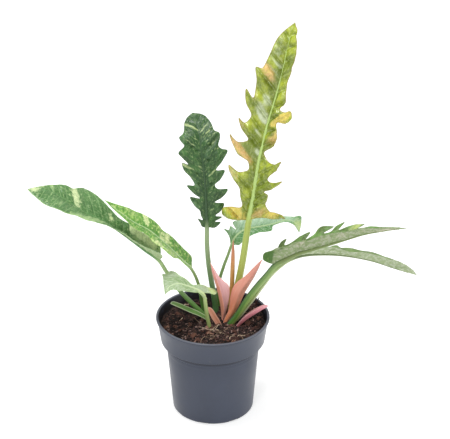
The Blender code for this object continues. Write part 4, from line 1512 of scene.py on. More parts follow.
    def build(self) -> bpy.types.Object:
        """Makes the pot in place of its solid.

        Returns:
            The piece.
        """
        pot = self.turned()
        half = 0.5 * self.drain_width
        group = bpy.data.collections.new("drains")
        bpy.context.scene.collection.children.link(group)
        for k in range(self.drains):
            turn = self.drain_first_deg + k * 360.0 / self.drains
            notch = ((self.slot_inner + 2.0, -half, -2.0),
                     (self.body_bottom_radius + 6.0, half, self.notch_height))
            hole = ((self.slot_inner, -0.4 * half, self.notch_height - 1.0),
                    (self.foot_inner_radius - 2.0, 0.4 * half, self.floor_top + 2.0))
            for low, high in (notch, hole):
                group.objects.link(self.cutter(low, high, turn))
        step = pot.modifiers.new("drains", "BOOLEAN")
        step.operation = "DIFFERENCE"
        step.operand_type = "COLLECTION"
        step.collection = group
        settle(pot, POT_SHARP_DEG)
        for obj in list(group.objects):
            bpy.data.objects.remove(obj, do_unlink=True)
        bpy.data.collections.remove(group)
        return dress(pot, Slot.POT_PLASTIC.value, "pot")


@dataclass(frozen=True)
class Drift:
    """Root fibres strewn over one stretch of soil: how many, where, and how high they arch."""

    count: int
    x: tuple[float, float]
    y: tuple[float, float]
    lift: tuple[float, float]


@dataclass
class Soil:
    """The potting soil: a low mound of peat with crumbs, bark chips, dry root fibres and a twig on it.

    Centre is the mound's middle, and heap that of the small heap at the right back, from which the twig's
    stems rise. Clods give the surface's roughness as (how many in a millimetre, which noise is read,
    height). Each stem is its line and its radius at the foot. A taper is the share of a fibre's or stem's
    radius that is lost by its end.
    """

    pot: Pot
    height: float = 115.0
    mound: float = 3.0
    lump: float = 1.1
    gap: float = 0.35
    centre: tuple[float, float] = (13.0, 10.0)
    heap: tuple[float, float] = (49.0, 27.0)
    heap_rise: float = 8.5
    heap_width: float = 13.0
    clods: Line = field(default_factory=lambda: [(0.11, 3.1, 2.2), (0.32, 7.7, 1.3), (0.8, 1.7, 0.6)])
    rings: int = 62
    crumbs: int = 3600
    chips: int = 170
    drifts: tuple[Drift, ...] = (
        Drift(29, x=(-8.0, 34.0), y=(-44.0, -18.0), lift=(0.4, 3.5)),
        Drift(19, x=(-50.0, 50.0), y=(-46.0, 48.0), lift=(0.3, 1.6)))
    fibre_length: tuple[float, float] = (8.0, 26.0)
    fibre_radius: tuple[float, float] = (0.2, 0.55)
    fibre_links: int = 5
    fibre_turn: float = 0.45
    fibre_taper: float = 0.6
    fibre_keep: float = 2.0
    stem_taper: float = 0.4
    stems: list[tuple[Line, float]] = field(default_factory=lambda: [
        ([(50.0, 24.0, 118.0), (53.0, 26.0, 127.0), (57.5, 27.5, 137.5)], 1.0),
        ([(53.0, 26.0, 127.0), (53.5, 27.5, 131.5), (52.5, 29.0, 135.5)], 0.7),
        ([(44.0, 26.0, 121.0), (50.0, 27.0, 125.5), (58.0, 27.0, 129.0)], 0.7)])

    @property
    def radius(self) -> float:
        """The radius of the soil's top."""
        return self.pot.inner_radius(self.height) - self.gap

    def level(self, x: float, y: float) -> float:
        """Measures the soil's surface under its crumbs.

        Args:
            x: the place to the right of the pot's axis.
            y: the place behind it.

        Returns:
            The height there.
        """
        out = math.hypot(x - self.centre[0], y - self.centre[1]) / self.pot.collar_top_radius
        lumps = math.sin(0.23 * x + 1.0) * math.sin(0.19 * y + 0.4) + 0.6 * math.sin(0.41 * x - 0.33 * y)
        base = self.height + self.mound * max(0.0, 1.0 - out * out) + 0.7 * self.lump * lumps
        off = math.hypot(x - self.heap[0], y - self.heap[1]) / self.heap_width
        base += self.heap_rise * math.exp(-off * off)
        rough = sum(noise.noise(Vector((scale * x, scale * y, seed))) * rise
                    for scale, seed, rise in self.clods)
        fade = min(1.0, (self.radius + 1.0 - math.hypot(x, y)) / 4.0)
        return base + rough * fade

    def build_body(self) -> bpy.types.Object:
        """Makes the root ball, with a rough top, in place of its solid.

        Returns:
            The piece.
        """
        spots = [(0.0, 0.0)]
        for ring in range(1, self.rings + 1):
            count = 6 * ring
            r = self.radius * ring / self.rings
            spots += [(r * math.cos(2 * math.pi * j / count), r * math.sin(2 * math.pi * j / count))
                      for j in range(count)]
        made = delaunay_2d_cdt([Vector(p) for p in spots], [], [], 0, MERGE_DISTANCE, False)
        flat = [tuple(p) for p in made[0]]
        top = [(x, y, self.level(x, y)) for x, y in flat]
        count = 6 * self.rings
        step = self.pot.ledge_height + self.pot.wall
        side = [(self.pot.inner_radius(step + 1.0) - self.gap, step + 1.0 + self.gap),
                (self.pot.inner_radius(self.pot.ledge_height) - self.gap - 0.1, step + self.gap - 1.2),
                (self.pot.inner_radius(self.pot.floor_top) - self.gap, self.pot.floor_top + self.gap)]
        rim = [i for i, (x, y) in enumerate(flat) if math.hypot(x, y) > self.radius - 0.01]
        rim.sort(key=lambda i: math.atan2(flat[i][1], flat[i][0]))
        faces = [tuple(face) for face in made[2]]
        rows = [rim]
        points = list(top)
        for r, z in side:
            rows.append([len(points) + j for j in range(len(rim))])
            for i in rim:
                turn = math.atan2(flat[i][1], flat[i][0])
                points.append((r * math.cos(turn), r * math.sin(turn), z))
        for high, low in zip(rows, rows[1:]):
            for j in range(count):
                k = (j + 1) % count
                faces.append((high[j], low[j], low[k], high[k]))
        faces.append(tuple(reversed(rows[-1])))
        tone = np.array([[0.35 + 0.9 * noise.noise(Vector((0.15 * x, 0.15 * y, 0.0))), 0.0]
                         for x, y, _ in points])
        shape = Shape()
        shape.add(np.array(points), faces, {Layer.BLADE: tone})
        return dress(shape.build("soil_bed", [PEAT.build("peat")]), Slot.SOIL.value, "soil")

    def scatter(self, seed: int, count: int, small: float, large: float, flatness: float, bias: float,
                keep: float) -> Shape:
        """Lays loose grains on the soil.

        Args:
            seed: the number that the grains are drawn from.
            count: how many there are.
            small: the smallest grain's half length.
            large: the largest grain's half length.
            flatness: how thick a grain is, as a share of its length.
            bias: the power that makes small grains commoner than large ones.
            keep: how far from the pot's wall they stay.

        Returns:
            The grains as one shape.
        """
        draw = random.Random(seed)
        ball = bmesh.new()
        bmesh.ops.create_icosphere(ball, subdivisions=1, radius=1.0)
        ball.verts.ensure_lookup_table()
        corners = np.array([tuple(v.co) for v in ball.verts])
        faces = [tuple(v.index for v in face.verts) for face in ball.faces]
        ball.free()
        shape = Shape()
        for _ in range(count):
            size = small + (large - small) * draw.random() ** bias
            out = (self.radius - keep - size) * math.sqrt(draw.random())
            turn = 2 * math.pi * draw.random()
            x, y = out * math.cos(turn), out * math.sin(turn)
            stretch = np.array([1.0, 0.45 + 0.45 * draw.random(), flatness * (0.7 + 0.6 * draw.random())])
            rough = np.array([[0.75 + 0.5 * draw.random()] for _ in corners])
            grain = corners * rough * stretch * size
            yaw, tilt, roll = 2 * math.pi * draw.random(), draw.uniform(-0.6, 0.6), draw.uniform(-0.6, 0.6)
            cy, sy, ct, st, cr, sr = (math.cos(yaw), math.sin(yaw), math.cos(tilt), math.sin(tilt),
                                      math.cos(roll), math.sin(roll))
            grain = grain @ np.array([[1, 0, 0], [0, cr, sr], [0, -sr, cr]])
            grain = grain @ np.array([[ct, 0, -st], [0, 1, 0], [st, 0, ct]])
            grain = grain @ np.array([[cy, sy, 0], [-sy, cy, 0], [0, 0, 1]])
            lift = self.level(x, y) + 0.35 * size * flatness
            # Painted shade: grains are darker towards the back and the left, where the soil lies in shade.
            back_shade = min(1.0, max(0.0, (y + 8.0) / 40.0)) * min(1.0, max(0.0, (42.0 - x) / 30.0))
            tone = draw.random() * (1.0 - 0.6 * back_shade)
            shape.add(grain + np.array([x, y, lift]), faces, {Layer.BLADE: np.full((len(grain), 2), tone)})
        return shape

    def lay_fibre(self, shape: Shape, drift: Drift, draw: random.Random) -> None:
        """Lays one dry root fibre, which stays within the pot.

        Args:
            shape: the shape that it is added to.
            drift: the stretch of soil that it starts on.
            draw: what its numbers are drawn from.
        """
        x = draw.uniform(*drift.x)
        y = draw.uniform(*drift.y)
        turn = draw.uniform(0.0, 2 * math.pi)
        length = draw.uniform(*self.fibre_length)
        radius = draw.uniform(*self.fibre_radius)
        lift = draw.uniform(*drift.lift)
        limit = self.radius - self.fibre_keep
        line = []
        for k in range(self.fibre_links + 1):
            z = self.level(x, y) + 0.8 + lift * math.sin(math.pi * (k / self.fibre_links))
            line.append((x, y, z))
            turn += draw.uniform(-self.fibre_turn, self.fibre_turn)
            x += math.cos(turn) * length / self.fibre_links
            y += math.sin(turn) * length / self.fibre_links
            away = math.hypot(x, y)
            if away > limit:
                x, y = (c * limit / away for c in (x, y))
        radii = radius * (1.0 - self.fibre_taper * np.linspace(0.0, 1.0, 12))
        strand(shape, line, radii, (0.0, 0.1, 1.0), sides=5, tone=draw.random())

    def strands(self, seed: int) -> Shape:
        """Lays the dry root fibres, most of them in front of the stalks.

        Args:
            seed: the number that the fibres are drawn from.

        Returns:
            The fibres as one shape.
        """
        draw = random.Random(seed)
        shape = Shape()
        for drift in self.drifts:
            for _ in range(drift.count):
                self.lay_fibre(shape, drift, draw)
        return shape

    def twig(self) -> Shape:
        """Makes the broken twig that stands up at the right back.

        Returns:
            Its stems as one shape.
        """
        shape = Shape()
        for line, radius in self.stems:
            radii = np.linspace(radius, (1.0 - self.stem_taper) * radius, 9)
            strand(shape, line, radii, (0.0, 1.0, 0.1), sides=7, tone=0.3)
        return shape

    def build(self) -> list[bpy.types.Object]:
        """Makes the soil and what lies on it.

        Returns:
            The pieces.
        """
        bed = self.build_body()
        crumbs = self.scatter(11, self.crumbs, small=0.5, large=2.0, flatness=0.7, bias=2.2, keep=1.0)
        chips = self.scatter(12, self.chips, small=1.8, large=5.5, flatness=0.3, bias=1.6, keep=1.5)
        loose = [crumbs.build("soil_crumbs", [CRUMB.build("crumb")]),
                 chips.build("bark_chips", [BARK.build("bark")], smooth=False),
                 self.strands(13).build("root_fibres", [ROOT.build("dry_root")]),
                 self.twig().build("twig", [BARK.build("twig_bark")])]
        return [bed] + [dress(piece, Slot.SOIL.value) for piece in loose]


LEAVES = [
    Leaf(
        name="leaf_tall_young", slot=Slot.LEAF_YOUNG, blade=YOUNG_BLADE, skin=OLIVE_STALK,
        stalk=[(20, 12, 91.8), (22, 13, 114), (32, 13, 170), (37, 15, 199), (44, 20, 250)],
        rib=[(49, 21, 278), (54, 23, 316), (60, 26, 348), (67, 28, 378), (75, 31, 407), (83, 34, 441),
             (89, 38, 471), (96, 44, 493)],
        radii=(4.8, 3.8, 0.8),
        left=[(-4, 12), (-4, 23), (1, 33), (11, 32), (14, 12), (28, 16), (39, 19), (49, 26), (67, 35),
              (60, 21), (64, 11), (73, 13), (81, 28), (104, 40), (96, 30), (100, 18), (112, 29), (123, 36),
              (119, 27), (129, 22), (142, 31), (160, 36), (151, 25), (170, 27), (190, 31), (190, 24),
              (203, 20), (225, 15), (239, 8)],
        right=[(6, 10), (11, 20), (16, 34), (23, 50), (31, 64), (30, 51), (26, 38), (25, 28), (29, 21),
               (36, 23), (42, 22), (43, 16), (52, 29), (67, 43), (60, 29), (59, 17), (67, 22), (78, 32),
               (92, 38), (84, 28), (82, 13), (89, 5), (100, 14), (112, 20), (123, 15), (131, 13), (138, 30),
               (146, 37), (153, 30), (148, 20), (148, 12), (160, 18), (173, 13), (185, 12), (200, 15),
               (216, 17), (232, 12), (244, 5)],
        faces=((-0.42, -1.0, 0.15), (-0.55, -0.9, 0.25)),
        fold=(16.0, 20.0), curl=8.0, wave=2.2, lean=0.75, quilt=3.4, pucker=2.3, vein_step=17.0,
        stains_and_painted_light={
            Tint.WARM: [
                (186, -15, 9, 9, 0.95), (195, -24, 6, 6, 0.5), (94, -33, 7, 13, 0.9),
                (80, -18, 5, 11, 0.9), (14, 14, 8, 15, 0.75), (113, 16, 10, 9, 0.75),
                (118, -31, 6, 11, 0.45), (158, -27, 9, 9, 0.4)],
            Tint.CREAM: [
                (60, -30, 9, 12, 0.6), (8, -18, 14, 22, 0.8), (25, 38, 12, 20, 0.8),
                (143, 24, 10, 12, 0.9), (131, 12, 6, 9, 0.6), (54, 38, 9, 16, 0.4), (80, 30, 9, 14, 0.3)],
            Tint.DEEP: [
                (183, -4, 14, 5, 1.0), (164, -4, 8, 6, 1.0), (90, -6, 12, 9, 1.0), (97, -19, 8, 9, 0.8),
                (40, 12, 13, 10, 0.8), (100, 6, 12, 7, 0.7), (12, 8, 4, 13, 0.8), (70, -6, 12, 6, 0.5),
                (150, 20, 12, 9, 0.4), (205, 8, 14, 7, 0.5), (52, 12, 8, 7, 0.5), (134, 3, 10, 5, 0.7)],
            # Painted highlights: the pale marks beside the rib on the left half, from 88 to 200 along,
            # stand in for glints on the glossy folds; the others are paler patches of the leaf.
            Tint.PALE: [
                (60, -30, 9, 12, 0.5), (215, -10, 22, 12, 0.4), (153, -9, 6, 6, 1.0),
                (132, -8, 7, 7, 1.0), (140, -14, 10, 8, 0.5), (88, -4, 4, 5, 0.9), (112, -9, 3, 9, 0.6),
                (190, -10, 2, 9, 0.5), (200, -9, 2, 8, 0.45), (172, -10, 2, 9, 0.5)],
        },
    ),
    Leaf(
        name="leaf_upright_dark", slot=Slot.LEAF_GREEN, blade=DARK_BLADE, skin=GREY_STALK,
        stalk=[(4, 25, 90.5), (4, 26, 114), (2, 27, 134), (-5, 28, 183), (-7, 28, 211), (-7, 28, 235)],
        rib=[(-8, 28, 264), (-9, 30, 290), (-11, 33, 315), (-14, 40, 339), (-16, 50, 352), (-24, 78, 365)],
        radii=(4.0, 2.7, 0.8),
        left=[(2, 6), (7, 8), (14, 11), (11, 5), (18, 7), (24, 8), (31, 14), (43, 19), (40, 7), (48, 15),
              (59, 22), (58, 13), (69, 17), (79, 24), (88, 25), (85, 18), (94, 24), (100, 28), (107, 20),
              (112, 23), (118, 25), (124, 19), (140, 14), (149, 8)],
        right=[(0, 10), (7, 17), (8, 10), (14, 19), (16, 11), (22, 18), (32, 22), (34, 11), (40, 20),
               (50, 27), (51, 15), (56, 12), (62, 19), (73, 25), (74, 15), (85, 24), (96, 31), (99, 24),
               (103, 21), (112, 24), (117, 24), (121, 18), (128, 17), (136, 15), (146, 11)],
        faces=((0.1, -1.0, 0.12), (0.05, -0.8, 0.6)),
        fold=(12.0, 8.0), curl=-6.0, wave=1.2, quilt=1.7, pucker=1.2,
        stains_and_painted_light={
            Tint.CREAM: [
                (136, -13, 2.0, 5, 1.0), (130, -8, 1.2, 7, 0.9), (127, -15, 0.8, 6, 0.55),
                (121, -17, 0.9, 4, 0.6), (112, -15, 1.0, 7, 0.6), (101, -19, 0.8, 4, 0.55),
                (97, -6, 0.8, 5, 0.5), (133, 8, 0.9, 4, 0.6), (123, 14, 0.9, 4, 0.65),
                (109, 7, 0.8, 6, 0.5), (100, 20, 1.0, 4, 0.6), (95, 12, 0.8, 5, 0.5),
                (84, 16, 0.9, 6, 0.5), (66, -12, 0.9, 5, 0.5), (62, 10, 0.8, 5, 0.45),
                (88, -15, 0.9, 4, 0.55), (126, -3, 1.0, 5, 0.7), (125, 6, 1.3, 8, 0.95),
                (118, 8, 1.1, 7, 0.8), (115, 11, 0.9, 5, 0.6), (117, 18, 1.2, 5, 0.8),
                (106, 14, 1.2, 5, 0.9), (114, -6, 1.1, 8, 0.7), (106, -8, 1.1, 7, 0.6),
                (84, -22, 1.8, 8, 0.9), (81, -16, 1.2, 7, 0.7), (80, -4, 1.5, 5, 0.8),
                (74, -2, 1.5, 3, 0.7), (72, 11, 1.5, 9, 0.9), (48, 6, 1.5, 2.2, 0.7),
                (42, -4, 1.5, 2.2, 0.7), (25, 8, 1.6, 4, 0.7), (92, -10, 1.0, 7, 0.5),
                (58, -9, 1.0, 6, 0.5)],
            Tint.DEEP: [
                (130, 9, 18, 13, 0.9), (134, -10, 16, 12, 0.8), (104, 16, 8, 9, 0.5), (40, 14, 6, 8, 0.6),
                (60, 0, 40, 4, 0.6)],
            Tint.PALE: [(94, 6, 10, 8, 0.4), (62, -14, 7, 9, 0.6), (35, -16, 6, 10, 0.6)],
        },
    ),
    Leaf(
        name="leaf_long_left", slot=Slot.LEAF_GREEN, blade=MID_BLADE, skin=DARK_RIB_STALK,
        stalk=[(-5, 9, 90.2), (-6, 10, 114), (-15, 8, 128), (-40, 2, 161), (-56, -2, 190), (-65, -4, 207)],
        rib=[(-81, -5, 221), (-99, -6, 237), (-116, -8, 252), (-134, -11, 266), (-152, -15, 278),
             (-166, -19, 291), (-186, -23, 307), (-202, -27, 313), (-215, -30, 315)],
        radii=(3.4, 2.4, 0.7),
        left=[(3, 14), (13, 26), (25, 24), (45, 20), (59, 17), (72, 16), (86, 18), (105, 24), (125, 24),
              (145, 30), (160, 29), (173, 23), (183, 12)],
        right=[(4, 12), (16, 21), (38, 17), (54, 17), (67, 16), (80, 20), (91, 25), (107, 34), (117, 35),
               (127, 28), (136, 21), (146, 20), (158, 13), (170, 7), (181, 3)],
        faces=((0.35, 0.0, 1.0), (0.1, -0.35, 1.0)),
        fold=(46.0, 4.0), curl=-6.0, wave=1.5, lean=0.45, quilt=1.0, pucker=0.9, vein_step=10.0,
        stains_and_painted_light={
            Tint.CREAM: [
                (129, 12, 7, 16, 1.0), (181, 0, 8, 8, 0.8), (172, 7, 5, 6, 0.5), (78, 9, 5, 7, 0.7),
                (48, 12, 5, 6, 1.0), (38, 14, 8, 6, 1.0), (26, 14, 14, 10, 0.6), (16, 12, 7, 6, 0.7)],
            Tint.DEEP: [
                (59, 10, 7, 9, 1.0), (152, -8, 20, 5, 0.8), (62, 20, 14, 9, 0.9), (52, 20, 10, 6, 0.6),
                (96, 4, 14, 7, 0.5), (146, -4, 26, 5, 1.0), (118, -6, 14, 5, 0.6)],
            Tint.PALE: [
                (162, 10, 3, 9, 0.8), (26, 14, 14, 10, 1.0), (22, 4, 22, 6, 1.0), (4, 12, 18, 12, 1.0),
                (116, -24, 16, 9, 1.0), (128, -30, 10, 7, 0.8), (96, -12, 12, 6, 0.8),
                (150, -18, 3, 8, 0.6), (160, -14, 3, 6, 0.5), (20, -12, 22, 12, 0.4)],
        },
    ),
    Leaf(
        name="leaf_short_left", slot=Slot.LEAF_GREEN, blade=BRIGHT_BLADE, skin=FRESH_STALK,
        stalk=[(-8, 22, 88.1), (-8, 22, 114), (-12, 21, 125), (-18, 16, 164), (-26, 12, 186)],
        rib=[(-35, 8, 198), (-52, 2, 221), (-63, -3, 235), (-77, -7, 250), (-93, -10, 261),
             (-105, -12, 272), (-117, -12, 282), (-127, -12, 292)],
        radii=(2.6, 1.9, 0.7),
        left=[(3, 5), (13, 7), (22, 6), (30, 9), (43, 19), (56, 20), (66, 18), (76, 18), (86, 13),
              (100, 12), (112, 9), (128, 4)],
        right=[(2, 6), (7, 14), (20, 15), (35, 15), (51, 16), (61, 14), (74, 16), (86, 17), (100, 17),
               (116, 14), (131, 8)],
        faces=((0.35, -0.3, 1.0), (0.3, -0.35, 1.0)),
        fold=(24.0, 12.0), curl=-12.0, wave=1.2, lean=0.4, quilt=1.0, pucker=0.8, vein_step=9.0, cell=1.5,
        stains_and_painted_light={
            Tint.CREAM: [
                (91, 14, 5, 12, 1.0), (62, 4, 6, 6, 0.8), (52, 7, 6, 6, 0.85), (74, -17, 9, 8, 0.6),
                (62, -16, 8, 8, 0.5), (54, 19, 9, 9, 0.6)],
            Tint.DEEP: [
                (16, 9, 16, 9, 0.9), (80, 6, 10, 7, 1.0), (34, 6, 16, 10, 0.9), (103, -9, 16, 9, 1.0),
                (92, -6, 14, 7, 0.9)],
            Tint.PALE: [
                (74, -17, 9, 8, 1.0), (44, -14, 13, 10, 1.0), (112, 12, 14, 10, 0.6), (70, 16, 9, 9, 0.8),
                (20, -8, 12, 10, 0.5), (124, -12, 12, 6, 0.9)],
        },
    ),
    Leaf(
        name="leaf_small_front", slot=Slot.LEAF_PALE, blade=SILVER_BLADE, skin=LIME_STALK,
        stalk=[(-3, -12, 86.9), (-3.6, -12, 114), (-6.6, -13.5, 133), (-8.5, -15, 150), (-9.6, -16, 161),
               (-11.5, -17, 167)],
        rib=[(-20, -19, 175), (-31, -22, 181.5), (-42, -26, 186.5), (-52, -31, 185), (-57, -37, 178)],
        radii=(2.6, 2.2, 0.7),
        left=[(-6, 4), (3, 6), (8, 4), (13, 6), (22, 8), (34, 10), (41, 11), (46, 8), (52, 4)],
        right=[(-8, 5), (-16, 7), (-18, 12), (-12, 13), (-6, 12), (1, 11), (9, 8), (18, 4), (27, 8),
               (34, 11), (38, 16), (41, 18), (43.5, 15.5), (46, 18.5), (48, 13), (53, 7)],
        faces=((0.1, -0.45, 1.0), (-0.25, -0.75, 0.8)),
        fold=(18.0, 6.0), curl=-8.0, wave=1.0, lean=1.6, pucker=0.6, vein_step=7.0, cell=1.2,
        stains_and_painted_light={
            Tint.DEEP: [(30, 4, 10, 4, 0.8)],
            Tint.PALE: [(-14, 7, 8, 8, 0.9), (8, -4, 10, 4, 0.4)],
        },
    ),
    Leaf(
        name="leaf_small_back", slot=Slot.LEAF_GREEN, blade=BLUE_BLADE, skin=FRESH_STALK,
        stalk=[(8, 38, 86.3), (8, 39, 114), (7, 42, 147), (13, 44, 171), (19, 46, 188), (23, 48, 200)],
        rib=[(29, 51, 211), (40, 55, 218), (56, 60, 219), (74, 66, 220), (91, 71, 223), (101, 75, 218),
             (108, 78, 202)],
        radii=(2.6, 1.8, 0.7),
        left=[(6, 6), (9, 12), (10, 18), (13, 12), (16, 14), (18, 6), (20, 16), (27, 14), (40, 12),
              (54, 11), (68, 8), (83, 5), (91, 7), (98, 14), (104, 11)],
        right=[(4, 6), (7, 11), (14, 13), (22, 14), (31, 12), (43, 9), (52, 9.5), (59, 8.5), (62, 3),
               (70, 2), (81, 3), (90, 4), (98, 2.5)],
        faces=((0.1, -0.5, 1.0), (0.3, -0.75, 0.9)),
        fold=(20.0, 4.0), curl=-10.0, wave=1.0, vein_step=9.0, cell=1.2,
        stains_and_painted_light={
            Tint.CREAM: [(101, -2, 12, 16, 0.9)],
            Tint.DEEP: [
                (48, 7, 26, 6, 1.0), (10, 8, 14, 9, 0.9), (30, -6, 4, 4, 0.7), (4, -10, 10, 7, 0.8),
                (15, -12, 4, 6, 0.5), (56, -7, 5, 3, 0.5)],
            Tint.PALE: [(44, -8, 28, 9, 0.8), (80, -3, 20, 7, 0.7), (22, -12, 11, 8, 0.4)],
        },
    ),
    Leaf(
        name="leaf_long_right", slot=Slot.LEAF_PALE, blade=BACK_BLADE, skin=DEEP_STALK,
        stalk=[(18, -5, 90.9), (19.5, -5, 114), (30.6, -6.5, 132.4), (42.9, -9, 157), (53.8, -11.5, 175),
               (65.8, -13.5, 192), (76.0, -15, 206.4)],
        rib=[(90, -18, 217), (103, -22, 226), (122, -27, 235), (141, -32, 244), (159, -37, 253),
             (178, -42, 262), (197, -48, 269), (215, -54, 275), (228, -60, 278)],
        radii=(4.2, 3.7, 0.8),
        left=[(-4, 8), (-6, 20), (-1, 24), (4, 21), (9, 27), (18, 30), (15, 22), (24, 22), (36, 27),
              (49, 27), (43, 19), (54, 23), (60, 29), (69, 31), (79, 28), (66, 21), (75, 21), (82, 28),
              (94, 28), (85, 21), (97, 20), (109, 20), (119, 17), (111, 13), (126, 11), (144, 6), (160, 3)],
        right=[(-4, 8), (-6, 17), (1, 24), (10, 23), (20, 24), (29, 19), (40, 21), (52, 19), (70, 22),
               (83, 20), (101, 17), (123, 16), (138, 10), (156, 4)],
        faces=((-0.35, 0.5, 1.0), (-0.2, 0.35, 1.0)),
        fold=(42.0, 30.0), curl=6.0, wave=1.6, quilt=1.0, pucker=0.9, vein_step=11.0,
        stains_and_painted_light={
            # Painted shade: the warm marks at the base, in this leaf's dark green, darken the rolled basal
            # lobe and its crease.
            Tint.WARM: [
                (-4, 12, 9, 10, 1.0), (3, 14, 2.5, 6.0, 1.0), (-4, 20, 2.0, 3.0, 1.0), (8, 24, 9, 7, 1.0),
                (-3, -20, 12, 14, 0.4)],
            Tint.CREAM: [
                (150, 2, 26, 8, 0.7), (44, 16, 8, 7, 0.6), (36, -14, 8, 7, 0.6), (70, 12, 10, 6, 0.5),
                (95, 10, 12, 6, 0.6), (88, -9, 12, 6, 0.6), (118, 8, 12, 6, 0.4)],
            # The first three deep marks, at the base, are painted shade round the rolled basal lobe.
            Tint.DEEP: [
                (0, 21, 9, 10, 1.0), (-4, 12, 9, 10, 0.5), (-3, -20, 12, 14, 1.0), (22, 20, 8, 6, 0.6),
                (34, 6, 10, 5, 0.3), (14, -28, 7, 8, 0.7)],
            Tint.PALE: [(-1, 14, 2.0, 3.0, 0.5), (110, -18, 8, 8, 0.9)],
        },
    ),
    Leaf(
        name="leaf_drooping_right", slot=Slot.LEAF_PALE, blade=FALLEN_BLADE, skin=LIT_EDGE_STALK,
        stalk=[(24, 3, 91.1), (25, 3, 113), (37, 4.5, 131), (49.5, 7, 148), (61.5, 9.5, 165),
               (74, 12, 181.5), (84, 14.5, 190), (93, 16, 196)],
        rib=[(108, 18, 201), (132, 24, 200), (161, 30, 195), (196, 36, 184.5), (223, 39, 173),
             (254, 42, 161)],
        radii=(3.4, 2.5, 0.8),
        left=[(4, 9), (20, 12), (40, 12), (54, 14), (66, 19), (70, 15), (84, 17), (95, 15), (106, 17),
              (123, 18), (142, 16), (158, 9)],
        right=[(3, 7), (9, 9), (26, 13), (42, 20), (58, 21), (74, 15), (88, 20), (107, 23), (122, 26),
               (141, 26), (155, 18)],
        faces=((-0.2, 0.35, 1.0), (0.35, 0.3, 1.0)),
        fold=(36.0, 30.0), curl=-6.0, wave=1.4, quilt=0.9, pucker=0.8, vein_step=11.0,
        stains_and_painted_light={
            Tint.CREAM: [(80, -4, 14, 8, 0.5), (120, -12, 10, 8, 0.4)],
            Tint.DEEP: [(140, 10, 24, 14, 0.45), (140, -10, 20, 9, 0.35)],
        },
    ),
]

SHEATHS = [
    Sheath(
        name="sheath_left", finish=SALMON_SHEATH,
        line=[(11, 8, 91.8), (11, 8, 114), (10.5, 7, 131), (6, 4, 160), (0.5, 1, 184), (-2.5, -3, 203)],
        left=[(0, 3.2), (0.2, 3.8), (0.29, 5), (0.4, 10), (0.5, 11.7), (0.63, 11.7), (0.75, 11),
              (0.86, 8.5), (0.95, 4)],
        right=[(0, 3.2), (0.2, 4.2), (0.28, 5.2), (0.37, 9), (0.5, 14), (0.61, 15.3), (0.68, 11.5),
               (0.77, 7), (0.9, 3)],
        face=(0.94, -0.34, 0.1), fold=(44.0, 44.0), curl=6.0,
    ),
    Sheath(
        name="sheath_thin", finish=ORANGE_SHEATH,
        line=[(21, 22, 91.1), (21, 22, 116), (23, 16, 157), (24, 11, 193), (25, 7, 230)],
        left=[(0, 3), (0.3, 3.8), (0.6, 3.7), (0.85, 2.6)],
        face=(0.2, 1.0, 0.1), fold=(45.0, 40.0),
    ),
    Sheath(
        name="sheath_broad", finish=PINK_SHEATH,
        line=[(15.5, -0.5, 91.7), (16, -0.5, 116), (25.5, -1, 136), (33.5, -5, 163.5), (46.4, -10, 187),
              (60, -17, 216)],
        left=[(0, 3.6), (0.2, 4), (0.29, 5), (0.38, 7.6), (0.48, 9.8), (0.58, 10.6), (0.72, 6.8),
              (0.86, 3.8)],
        face=(-0.15, 1.0, 0.0), fold=(40.0, 28.0),
    ),
    Sheath(
        name="sheath_short", finish=SHORT_SHEATH,
        line=[(8, -4, 91.1), (7.5, -4, 115), (1, -5, 129), (-5.5, -7, 143.5)],
        left=[(0, 3), (0.4, 3.4), (0.7, 3.8), (0.93, 2.8)],
        face=(0.2, -0.85, 0.5), fold=(28.0, 22.0),
    ),
    Sheath(
        name="sheath_low_right", finish=ROSE_SHEATH,
        line=[(30, -10, 89.3), (31, -10, 115), (39.5, -10, 125.8), (53, -9, 135.9), (68, -7, 145)],
        left=[(0, 4), (0.4, 4.4), (0.6, 6.6), (0.8, 6.4), (0.96, 4.2)],
        face=(-0.5, 0.35, 1.0), fold=(45.0, 45.0), curl=0.0,
    ),
    Sheath(
        name="sheath_green", slot=Slot.SHEATH_GREEN, finish=GREEN_SHEATH,
        line=[(-7, 1, 89.9), (-7, 1, 118), (-16, -1, 127), (-28, -3, 134), (-40, -7, 142.5),
              (-51.5, -13, 152)],
        left=[(0, 3.4), (0.4, 4.8), (0.7, 5.8), (0.96, 5)],
        right=[(0, 3.4), (0.4, 4.8), (0.7, 5.8), (0.96, 4)],
        face=(0.3, -0.1, 1.0), fold=(32.0, 24.0),
    ),
]


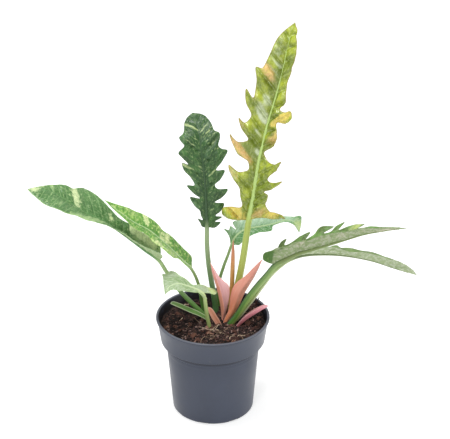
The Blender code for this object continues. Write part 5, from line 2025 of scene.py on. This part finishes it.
@dataclass
class Studio:
    """The white floor, the soft lights and the camera at the photograph's angle.

    Places and sizes are in metres, the lens and the sensor in millimetres. The floor starts to glow at the
    pot's foot, between the two radii of glow_from.
    """

    camera_place: Triple = (0.015, -1.733, 1.143)
    camera_tilt_deg: float = 63.0
    lens: float = 130.24
    sensor: float = 36.0
    far: float = 20.0
    floor_size: float = 12.0
    glow_from: tuple[float, float] = (0.0465, 0.0488)
    glow: float = 0.6
    sky: float = 0.68

    def build_floor(self) -> None:
        """Makes a wide white floor."""
        mesh = bpy.data.meshes.new("studio_floor")
        half = 0.5 * self.floor_size
        corners = [(-half, -half, 0), (half, -half, 0), (half, half, 0), (-half, half, 0)]
        mesh.from_pydata(corners, [], [(0, 1, 2, 3)])
        floor = bpy.data.objects.new("studio_floor", mesh)
        bpy.context.scene.collection.objects.link(floor)
        g = Graph("white_paper")
        g.feed(g.shader.inputs["Emission Color"], (1.0, 1.0, 1.0))
        parts = g.node("ShaderNodeSeparateXYZ")
        g.feed(parts.inputs[0], g.place())
        x, y, _ = parts.outputs
        radius = g.calc("SQRT", g.plus(g.times(x, x), g.times(y, y)))
        glow = g.ramp(radius, *self.glow_from, 0.0, self.glow)
        paper = g.surface((0.6, 0.6, 0.6), 0.9, Specular_IOR_Level=0.1, Emission_Strength=glow)
        mesh.materials.append(paper)

    def light(self, name: str, place: Triple, size: float, power: float) -> None:
        """Hangs a soft square lamp that looks at the plant.

        Args:
            name: the lamp's name.
            place: where it hangs.
            size: how wide it is.
            power: how many watts it has.
        """
        data = bpy.data.lights.new(name, "AREA")
        data.size = size
        data.energy = power
        lamp = bpy.data.objects.new(name, data)
        lamp.location = place
        toward = Vector((0.0, 0.0, 0.25)) - Vector(place)
        lamp.rotation_euler = toward.to_track_quat("-Z", "Y").to_euler()
        bpy.context.scene.collection.objects.link(lamp)

    def build(self) -> None:
        """Sets the stage, the lights and the camera."""
        self.build_floor()
        scene = bpy.context.scene
        scene.view_settings.view_transform = "Standard"
        world = bpy.data.worlds.new("studio")
        world.use_nodes = True
        background = world.node_tree.nodes["Background"]
        background.inputs["Color"].default_value = (1.0, 1.0, 1.0, 1.0)
        background.inputs["Strength"].default_value = self.sky
        scene.world = world
        self.light("overhead", (-0.25, 0.0, 1.9), size=0.6, power=22.0)
        self.light("key", (-0.5, -1.7, 1.75), size=0.5, power=13.0)
        self.light("side", (1.9, -0.4, 0.22), size=0.6, power=10.0)
        data = bpy.data.cameras.new("photo_camera")
        data.lens = self.lens
        data.sensor_width = self.sensor
        data.clip_end = self.far
        camera = bpy.data.objects.new("photo_camera", data)
        camera.location = self.camera_place
        camera.rotation_euler = (math.radians(self.camera_tilt_deg), 0.0, 0.0)
        scene.collection.objects.link(camera)
        scene.camera = camera


def finish_crown(crown: bpy.types.Object) -> bpy.types.Object:
    """Gives the crown, whose own solid stays in the scene, the look of its stock.

    Args:
        crown: the crown's solid.

    Returns:
        The same solid.
    """
    crown.data.materials.clear()
    crown.data.materials.append(STOCK.build("stock"))
    return crown


def main() -> None:
    """Dresses the frame: the studio, the pot, the soil, the crown, the leaves and the sheaths."""
    logging.basicConfig(level=logging.INFO, format="%(message)s")
    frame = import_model()
    Studio().build()
    pot = Pot()
    pieces = [pot.build(), *Soil(pot).build(), finish_crown(frame["nodes"]["crown"])]
    pieces += [grown.build() for grown in (*LEAVES, *SHEATHS)]
    for piece in pieces:
        LOG.info("%s: %d faces", piece.name, len(piece.data.polygons))


if __name__ == "__main__":
    main()
